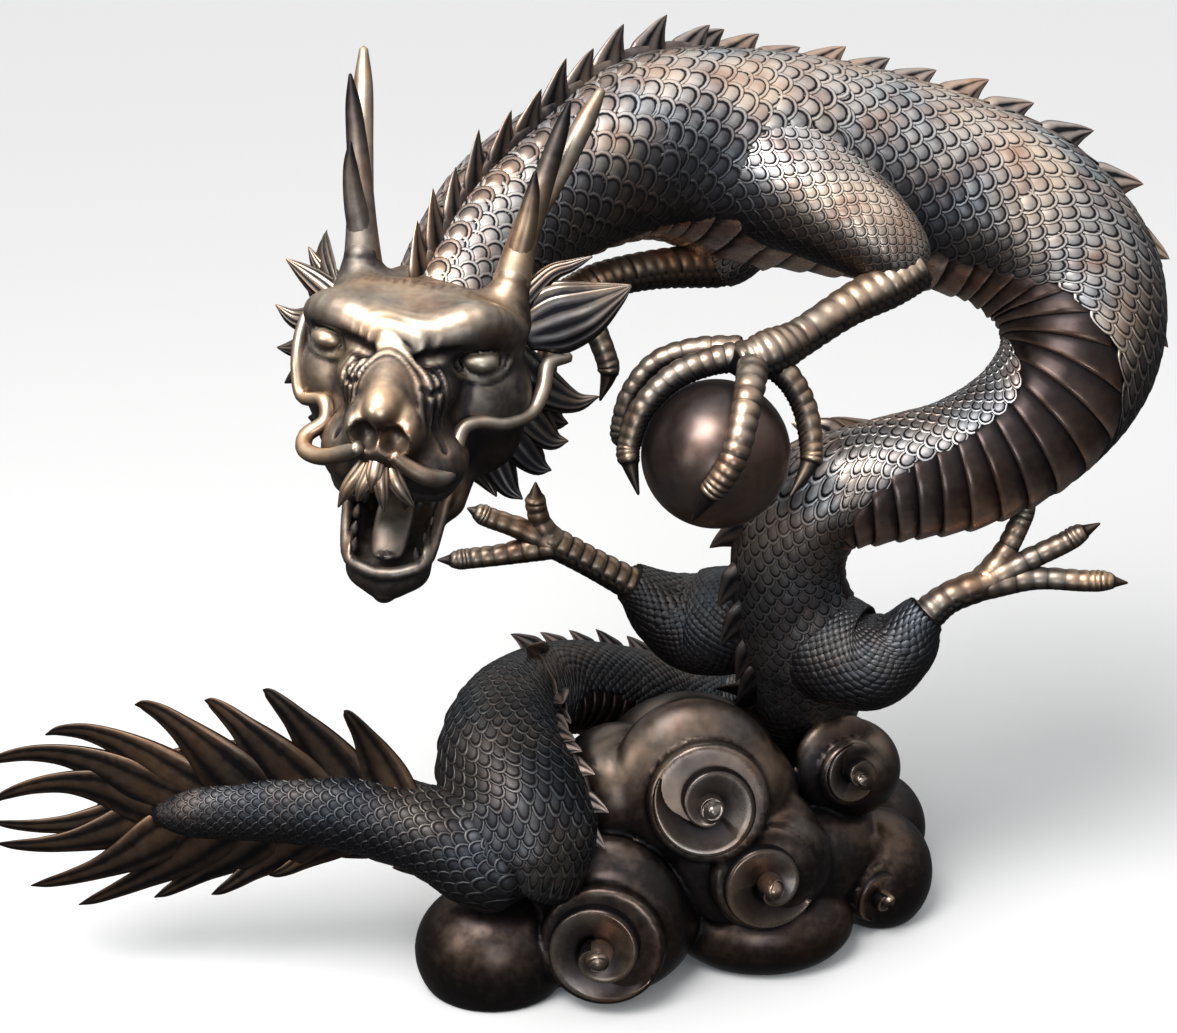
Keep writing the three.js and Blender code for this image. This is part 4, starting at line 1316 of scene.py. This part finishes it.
def shaded_bronze(colours):
    """The coil, tail and haunches: a darker copy of the scaled bronze, painted shade for the low parts of the
    sculpture.
    """
    return bronze("shaded_bronze", colours.hollow, colours.low, colours.low_rubbed, wear=0.48, gloss=-0.06)


def belly_bronze():
    hollow, flat, rubbed = (0.005, 0.004, 0.004), (0.078, 0.048, 0.038), (0.46, 0.33, 0.26)
    return bronze("belly_bronze", hollow, flat, rubbed, wear=0.6, gloss=0.04)


def head_bronze(colours):
    """The head, whiskers, mouth and antlers: warm and well rubbed."""
    tones = (colours.hollow, colours.warm, colours.golden)
    return bronze("smooth_bronze", *tones, wear=0.75, grain=0.5, gloss=-0.05, painted_light_share=0.3)


def mane_bronze(colours):
    flat, rubbed = (0.03, 0.026, 0.026), (0.22, 0.17, 0.13)
    return bronze("mane_bronze", colours.hollow, flat, rubbed, wear=0.5, grain=0.5)


def fin_bronze(colours):
    flat, rubbed = (0.05, 0.04, 0.036), (0.4, 0.3, 0.24)
    return bronze("fin_bronze", colours.hollow, flat, rubbed, wear=0.5, grain=0.5)


def plate_bronze(colours):
    """The plated lower limbs, toes and claws."""
    flat, rubbed = (0.050, 0.038, 0.031), (0.35, 0.255, 0.18)
    return bronze("plate_bronze", colours.hollow, flat, rubbed, wear=0.55, grain=0.7, gloss=-0.06)


def fan_bronze():
    hollow, flat, rubbed = (0.006, 0.004, 0.003), (0.085, 0.055, 0.038), (0.34, 0.22, 0.14)
    return bronze("fan_bronze", hollow, flat, rubbed, wear=0.5, grain=0.7)


def pearl_bronze():
    hollow, flat, rubbed = (0.02, 0.013, 0.011), (0.060, 0.042, 0.036), (0.25, 0.175, 0.14)
    return bronze("pearl_bronze", hollow, flat, rubbed, wear=0.3, grain=0.4, gloss=0.06)


def cloud_bronze():
    hollow, flat, rubbed = (0.005, 0.004, 0.004), (0.032, 0.022, 0.019), (0.44, 0.34, 0.26)
    return bronze("cloud_bronze", hollow, flat, rubbed, wear=0.5, grain=0.35, gloss=0.07)


# ---------------------------------------------------------------- the add-on
COLOUR = {"subtype": "COLOR", "size": 3, "min": 0, "max": 1}


class DragonColours(bpy.types.PropertyGroup):
    """Colours of the bronze."""

    hollow: bpy.props.FloatVectorProperty(
        name="Hollows", description="Patina in the hollows", default=(0.006, 0.005, 0.006), **COLOUR)
    flat: bpy.props.FloatVectorProperty(
        name="Flats", description="Patina on the open surface", default=(0.055, 0.050, 0.050), **COLOUR)
    rubbed: bpy.props.FloatVectorProperty(
        name="Rubbed", description="Metal rubbed pale on the high edges",
        default=(0.54, 0.48, 0.43), **COLOUR)
    # The low flats and low rubbed colours are painted shade: darker copies of the flats and rubbed metal for
    # the coil, tail and haunches.
    low: bpy.props.FloatVectorProperty(
        name="Low Flats", description="Patina on the tail and haunches",
        default=(0.022, 0.022, 0.024), **COLOUR)
    low_rubbed: bpy.props.FloatVectorProperty(
        name="Low Rubbed", description="High edges of the tail and haunches",
        default=(0.235, 0.225, 0.215), **COLOUR)
    warm: bpy.props.FloatVectorProperty(
        name="Head Flats", description="Patina on the head and horns",
        default=(0.075, 0.055, 0.046), **COLOUR)
    golden: bpy.props.FloatVectorProperty(
        name="Head Rubbed", description="Metal rubbed pale on the head and horns",
        default=(0.62, 0.48, 0.34), **COLOUR)


class DragonSizes(bpy.types.PropertyGroup):
    """Sizes of the modelled detail."""

    scale_rise: bpy.props.FloatProperty(
        name="Scale Rise", description="How far a scale stands up, as a share of its width",
        subtype="FACTOR", min=0.02, max=0.4, default=0.15)
    plate_rise: bpy.props.FloatProperty(
        name="Belly Plate Rise", description="Height of a belly plate's free edge",
        unit="LENGTH", min=0.0, max=0.012, default=0.0044)
    neck_fin: bpy.props.FloatProperty(
        name="Neck Fin Height", description="Height of the fins on the neck",
        unit="LENGTH", min=0.01, max=0.08, default=0.046)
    back_fin: bpy.props.FloatProperty(
        name="Back Fin Height", description="Height of the fins on the arch of the back",
        unit="LENGTH", min=0.01, max=0.08, default=0.038)
    blade_breadth: bpy.props.FloatProperty(
        name="Blade Breadth", description="Breadth of the tail blades, against the widths in their table",
        subtype="FACTOR", min=0.5, max=1.5, default=1.14)
    head_grid: bpy.props.FloatProperty(
        name="Head Grid", description="Size of the head's faces",
        unit="LENGTH", min=0.002, max=0.01, default=0.0027)
    cloud_grid: bpy.props.FloatProperty(
        name="Cloud Grid", description="Size of the clouds' faces",
        unit="LENGTH", min=0.003, max=0.02, default=0.0054)


def cast(heap, name, material, slot="dark_bronze", node="dragon"):
    """Makes one bronze piece of a heap, in place of its CAD node."""
    finish_piece(heap.build(name), material, slot, node)


# The upper limbs' flesh: each form, and the station where it ends inside the lower limb.
LIMB_FLESH = [(NEAR_ARM_FORM, 4), (FAR_ARM_FORM, 3), (NEAR_THIGH_FORM, 4.45), (FAR_THIGH_FORM, 4.45)]
# The row of trunk scales with which the dark coil begins, and how far the tail's scales rise.
COIL_BEGINS, TAIL_RISE = 7, 0.21


class DRAGON_OT_trunk(bpy.types.Operator):
    """The trunk with its scales and belly plates"""

    bl_idname = "dragon.trunk"
    bl_label = "Trunk"

    def execute(self, context):
        colours, sizes = context.scene.dragon_colours, context.scene.dragon_sizes
        scaled, shaded = scaled_bronze(colours), shaded_bronze(colours)
        core = Heap()
        skin(core, TRUNK_FORM, 0.0, 25.9)
        skin(core, TAIL_FORM, 0.0, 8.0, sides=32)
        for form, last in LIMB_FLESH:
            skin(core, form, 0, last, sides=32, step=7)
        cast(core, "dragon_flesh", scaled)
        for k, (start, end, around, small, rub) in enumerate(TRUNK_SCALES):
            heap = Heap()
            lay_scales(heap, TRUNK_FORM, start, end, around, small, seed=k, rub=rub, rise=sizes.scale_rise)
            cast(heap, f"trunk_scales_{k}", shaded if k >= COIL_BEGINS else scaled)
        heap = Heap()
        lay_scales(heap, TAIL_FORM, 0.6, 6.8, 17, False, seed=20, rub=0.05, rise=TAIL_RISE)
        lay_scales(heap, TAIL_FORM, 6.8, 7.8, 13, False, seed=21, rub=0.05, rise=TAIL_RISE)
        cast(heap, "tail_scales", shaded)
        heap = Heap()
        lay_scales(heap, NEAR_ARM_FORM, 0.1, 3.9, 22, False, seed=30)
        lay_scales(heap, FAR_ARM_FORM, 0.1, 2.9, 22, False, seed=31)
        cast(heap, "arm_scales", scaled)
        heap = Heap()
        for seed, form in ((32, NEAR_THIGH_FORM), (33, FAR_THIGH_FORM)):
            lay_scales(heap, form, 0.1, 3.3, 32, True, seed=seed)
            lay_scales(heap, form, 3.3, 4.4, 20, True, seed=seed)
        cast(heap, "haunch_scales", shaded)
        heap = Heap()
        belly_plates(heap, TRUNK_FORM, 0.6, 25.4, rise=sizes.plate_rise / MM)
        cast(heap, "belly_plates", belly_bronze())
        return {"FINISHED"}


# The corners of the box that holds the head, in its own axes, and of the one that holds the clouds.
HEAD_BOX = ((-150, -190, -300), (155, 170, 150))
CLOUD_BOX = ((-240, -340, -30), (490, 240, 380))
# The middle of the mouth lies this far to the dragon's left.
MOUTH_X = 13


class DRAGON_OT_head(bpy.types.Operator):
    """The head, with its brows, eyes, nose, cheeks, open mouth, tongue and jaw"""

    bl_idname = "dragon.head"
    bl_label = "Head"

    def execute(self, context):
        smooth = head_bronze(context.scene.dragon_colours)
        points, faces = surface_of(head_field, *HEAD_BOX, context.scene.dragon_sizes.head_grid / MM)
        values = {"relief": relief_of(head_field, points), "rub": head_rub(points), "tone": 0.5}
        face = make_object("head_skin", to_head(points), faces, values)
        finish_piece(face, smooth, "dark_bronze", "dragon")
        heap = Heap()
        for whisker in (WHISKER_LEFT, WHISKER_RIGHT):
            points, faces, _, _ = loft(settle(head_field, whisker, 0.35), 14, 6)
            heap.add(to_head(points), faces, relief=0.6, rub=0.5)
        for strand in TUFT:
            points, faces, relief, _ = leaf(strand, (0.1, -0.9, 0.3), 0.5, 5, 20, 5, 0.1)
            heap.add(to_head(points), faces, relief=relief, rub=0.6)
        points, faces, _, _ = loft(TONGUE, 18, 6, (0, -0.6, 0.8), 0.42)
        heap.add(to_head(points), faces, relief=0.5, rub=0.3)
        teeth = [((x - 5, y, z - 3), (x - 8, y - 2, z + 13), 6) for x, y, z in LOWER_TEETH]
        teeth += [((x - 3, y, z + 4), (x - 5, y - 3, z - reach), 6.5) for x, y, z, reach in UPPER_TEETH]
        for side in (-1, 1):
            for *ends, radius in teeth:
                root, tip = ((side * x + MOUTH_X, y, z) for x, y, z in ends)
                points, faces = cone_tooth(root, tip, radius)
                heap.add(to_head(points), faces, relief=0.45, rub=0.1, dark=0.3)
        cast(heap, "whiskers_and_mouth", smooth)
        return {"FINISHED"}


class DRAGON_OT_antlers(bpy.types.Operator):
    """The antlers, ears and mane"""

    bl_idname = "dragon.antlers"
    bl_label = "Antlers and Mane"

    def execute(self, context):
        colours = context.scene.dragon_colours
        heap = Heap()
        for k, tine in enumerate(ANTLERS):
            points, faces, _, t = loft(tine, 16, 8, (0, -1, 0.2), 0.92)
            rear = k % 3 == 2
            rub, dark = (0.45, 0.0) if rear else (0.4 * (1 - t), np.clip(t * 1.6 - 0.35, 0, 1))
            heap.add(to_head(points), faces, relief=0.5, rub=rub, dark=dark)
        cast(heap, "antlers", head_bronze(colours))
        heap = Heap()
        for ear in EARS:
            points, faces, relief, t = leaf(ear, (-0.15, -0.95, -0.1), 0.2, 11, 44, 8, 0.10)
            heap.add(to_head(points), faces, relief=relief, rub=0.2 + 0.3 * t)
        for k, tuft in enumerate(MANE):
            points, faces, relief, t = leaf(tuft, (0.1, -0.9, 0.3), 0.42, 9, 30, 6, 0.13)
            heap.add(to_head(points), faces, relief=relief, tone=(k * 0.37) % 1, rub=0.1 + 0.1 * t, dark=0.3)
        cast(heap, "ears_and_mane", mane_bronze(colours))
        return {"FINISHED"}


# Fins on the trunk as (from and to station, pitch, height), behind the neck's and the back's own rows.
LOWER_FINS = [(9.4, 17.4, 46, 34), (18.9, 22, 38, 26), (22.1, 25, 28, 22)]


class DRAGON_OT_fins(bpy.types.Operator):
    """The fins along the spine and the row of large scales beside them"""

    bl_idname = "dragon.fins"
    bl_label = "Spine Fins"

    def execute(self, context):
        sizes = context.scene.dragon_sizes
        finned = fin_bronze(context.scene.dragon_colours)
        heap = Heap()
        for row in [(0.12, 3.4, 44, sizes.neck_fin / MM), (3.5, 9.4, 52, sizes.back_fin / MM), *LOWER_FINS]:
            fin_row(heap, TRUNK_FORM, *row)
        fin_row(heap, TAIL_FORM, 2.7, 5, 40, 22)
        cast(heap, "spine_fins", finned)
        heap = Heap()
        for angle in (-15, 15):
            scute_row(heap, TRUNK_FORM, 0.1, 7.5, 27, 30, angle, 0.26)
        cast(heap, "spine_scutes", finned)
        return {"FINISHED"}


# Each lower limb and the way its plates face.
LOWER_LIMBS = [
    (NEAR_FOREARM, (0, -0.5, 0.85)), (FAR_FOREARM, (0, -0.4, 0.9)),
    (NEAR_SHIN, (-0.3, -0.4, 0.85)), (FAR_SHIN, (0.3, -0.4, 0.85)),
]


class DRAGON_OT_legs(bpy.types.Operator):
    """The lower limbs, feet, toes and claws"""

    bl_idname = "dragon.legs"
    bl_label = "Legs and Claws"

    def execute(self, context):
        plated = plate_bronze(context.scene.dragon_colours)
        heap = Heap()
        for stations, up in LOWER_LIMBS:
            plated_arm(heap, stations, up)
        cast(heap, "lower_limbs", plated)
        heap = Heap()
        for stations in FREE_TOES:
            toe(heap, stations, (-0.2, -0.5, 0.8))
        for stations in PEARL_TOES:
            stations = np.array(stations, float)
            outward = unit(stations[len(stations) // 2, :3])
            stations[:, :3] += PEARL_AT
            toe(heap, stations, tuple(outward))
        cast(heap, "toes_and_claws", plated)
        return {"FINISHED"}


class DRAGON_OT_tail(bpy.types.Operator):
    """The flame fan of the tail"""

    bl_idname = "dragon.tail_fan"
    bl_label = "Tail Fan"

    def execute(self, context):
        heap = Heap()
        points, faces, relief, _ = leaf(FAN_WEB, (0, 1, 0), 0.05, 14, 60, 10, 0.05)
        heap.add(points, faces, relief=relief * 0.8, rub=0.13)
        for k, (*ends, breadth) in enumerate(BLADES):
            tail_blade(heap, *ends, breadth * context.scene.dragon_sizes.blade_breadth, k)
        cast(heap, "tail_fan", fan_bronze())
        return {"FINISHED"}


class DRAGON_OT_pearl(bpy.types.Operator):
    """The pearl in the dragon's forefoot"""

    bl_idname = "dragon.pearl"
    bl_label = "Pearl"

    def execute(self, context):
        low, high = (np.array(v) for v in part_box("pearl"))
        bpy.ops.object.select_all(action="DESELECT")
        bpy.ops.mesh.primitive_uv_sphere_add(segments=72, ring_count=40, radius=1, location=(0, 0, 0))
        piece = context.object
        piece.name = piece.data.name = "polished_pearl"
        points = np.empty(len(piece.data.vertices) * 3, np.float32)
        piece.data.vertices.foreach_get("co", points)
        points = points.reshape(-1, 3) * (high - low) / 2 * 0.995 + (low + high) / 2
        piece.data.vertices.foreach_set("co", points.ravel())
        bpy.ops.object.shade_smooth()
        write_values(piece.data, {"relief": 0.55, "rub": 0.22, "tone": 0.5})
        finish_piece(piece, pearl_bronze(), "rubbed_bronze", "pearl")
        return {"FINISHED"}


class DRAGON_OT_clouds(bpy.types.Operator):
    """The cloud base with its scrolls"""

    bl_idname = "dragon.clouds"
    bl_label = "Clouds"

    def execute(self, context):
        satin = cloud_bronze()
        points, faces = surface_of(cloud_field, *CLOUD_BOX, context.scene.dragon_sizes.cloud_grid / MM)
        facing = unit(gradient(cloud_field, points, 2.0))[:, 2]
        # Painted light: cloud faces that look up, high on the base, are made paler like rubbed metal.
        painted_cloud_top_light = np.clip(facing, 0, 1) * np.clip((points[:, 2] - 110) / 160, 0, 1)
        values = {"relief": relief_of(cloud_field, points, 10.0), "rub": 0.04 + 0.32 * painted_cloud_top_light, "tone": 0.5}
        lobes = make_object("cloud_lobes", points, faces, values)
        finish_piece(lobes, satin, "brown_bronze", "cloud_base")
        heap = Heap()
        for row in SCROLLS:
            scroll(heap, *row)
        cast(heap, "cloud_scrolls", satin, "brown_bronze", "cloud_base")
        return {"FINISHED"}


def aim(thing, way):
    """Turns a lamp or camera to look one way."""
    thing.rotation_euler = Vector(way).to_track_quat("-Z", "Y").to_euler()


def in_scene(name, data):
    """An object that shows this lamp or camera."""
    thing = bpy.data.objects.new(name, data)
    bpy.context.scene.collection.objects.link(thing)
    return thing


def area_light(name, at, target, size, power, colour=(1, 1, 1)):
    light = bpy.data.lights.new(name, "AREA")
    light.shape, light.size, light.energy, light.color = "SQUARE", size, power, colour
    lamp = in_scene(name, light)
    lamp.location = at
    aim(lamp, Vector(target) - Vector(at))


def soft_ceiling():
    """A studio that is bright overhead and dim at the sides and below."""
    world = bpy.data.worlds.new("studio")
    world.use_nodes = True
    nodes, links = world.node_tree.nodes, world.node_tree.links
    where = nodes.new("ShaderNodeTexCoord")
    part = nodes.new("ShaderNodeSeparateXYZ")
    span = nodes.new("ShaderNodeMapRange")
    span.interpolation_type = "SMOOTHSTEP"
    for key, value in (("From Min", -0.1), ("From Max", 0.9), ("To Min", 0.10), ("To Max", 1.38)):
        span.inputs[key].default_value = value
    links.new(where.outputs["Generated"], part.inputs[0])
    links.new(part.outputs["Z"], span.inputs["Value"])
    links.new(span.outputs["Result"], nodes["Background"].inputs["Strength"])
    nodes["Background"].inputs["Color"].default_value = (0.97, 0.985, 1, 1)
    return world


# Area lights as (name, place and aim in metres, size in metres, power in watts, colour).
AREA_LIGHTS = [
    ("top_light", (-0.6, -1.0, 2.5), (0.0, 0, 0.9), 1.2, 66),
    ("side_light", (-2.2, -1.9, 1.5), (-0.2, 0, 0.7), 0.9, 24),
    ("front_light", (0.2, -3.0, 0.9), (0.1, 0, 0.5), 1.1, 34, (0.80, 0.90, 1)),
]
# The camera: the height it aims at in mm, its tilt in degrees, its distance in m and its lens in mm.
AIM_HEIGHT, CAMERA_TILT, CAMERA_DISTANCE, LENS = 543.6, 25, 2.7, 65.026


def add_floor():
    """A wide sheet of matt paper that doesn't show in the bronze's reflections."""
    bpy.ops.object.select_all(action="DESELECT")
    bpy.ops.mesh.primitive_plane_add(size=400, location=(0, 0, 0))
    floor = bpy.context.object
    floor.name = "floor"
    paper = bpy.data.materials.new("floor_paper")
    paper.use_nodes = True
    shader = paper.node_tree.nodes["Principled BSDF"]
    shader.inputs["Base Color"].default_value = (0.48, 0.475, 0.47, 1)
    shader.inputs["Roughness"].default_value = 0.9
    floor.data.materials.append(paper)
    floor.visible_glossy = False


def add_camera():
    """Looks at the sculpture from the front and a little above."""
    target = Vector(place()) + Vector((0, 0, AIM_HEIGHT * MM))
    tilt = math.radians(CAMERA_TILT)
    camera = in_scene("camera", bpy.data.cameras.new("camera"))
    camera.location = target + Vector((0, -math.cos(tilt), math.sin(tilt))) * CAMERA_DISTANCE
    aim(camera, target - camera.location)
    camera.data.sensor_width, camera.data.lens = 36, LENS
    bpy.context.scene.camera = camera


class DRAGON_OT_stage(bpy.types.Operator):
    """The floor, lights and camera"""

    bl_idname = "dragon.stage"
    bl_label = "Stage"

    def execute(self, context):
        add_floor()
        context.scene.world = soft_ceiling()
        sun = bpy.data.lights.new("key_light", "SUN")
        sun.energy, sun.angle = 2.1, math.radians(30)
        aim(in_scene("key_light", sun), (0.42, 0.42, -1))
        for light in AREA_LIGHTS:
            area_light(*light)
        add_camera()
        context.scene.view_settings.view_transform = "Standard"
        return {"FINISHED"}


class DRAGON_PT_panel(bpy.types.Panel):
    """Lists the steps that build the sculpture"""

    bl_idname = "DRAGON_PT_panel"
    bl_label = "Bronze Dragon"
    bl_space_type = "VIEW_3D"
    bl_region_type = "UI"
    bl_category = "Dragon"

    def draw(self, context):
        for operator in OPERATORS:
            self.layout.operator(operator.bl_idname)
        for group in (context.scene.dragon_sizes, context.scene.dragon_colours):
            for name in type(group).__annotations__:
                self.layout.prop(group, name)


OPERATORS = (
    DRAGON_OT_trunk, DRAGON_OT_head, DRAGON_OT_antlers, DRAGON_OT_fins, DRAGON_OT_legs,
    DRAGON_OT_tail, DRAGON_OT_pearl, DRAGON_OT_clouds, DRAGON_OT_stage,
)
CLASSES = (DragonColours, DragonSizes, *OPERATORS, DRAGON_PT_panel)


def register():
    for cls in CLASSES:
        bpy.utils.register_class(cls)
    bpy.types.Scene.dragon_colours = bpy.props.PointerProperty(type=DragonColours)
    bpy.types.Scene.dragon_sizes = bpy.props.PointerProperty(type=DragonSizes)


def unregister():
    del bpy.types.Scene.dragon_colours
    del bpy.types.Scene.dragon_sizes
    for cls in reversed(CLASSES):
        bpy.utils.unregister_class(cls)


def main():
    register()
    bpy.ops.dragon.trunk()
    bpy.ops.dragon.head()
    bpy.ops.dragon.antlers()
    bpy.ops.dragon.fins()
    bpy.ops.dragon.legs()
    bpy.ops.dragon.tail_fan()
    bpy.ops.dragon.pearl()
    bpy.ops.dragon.clouds()
    bpy.ops.dragon.stage()


if __name__ == "__main__":
    main()
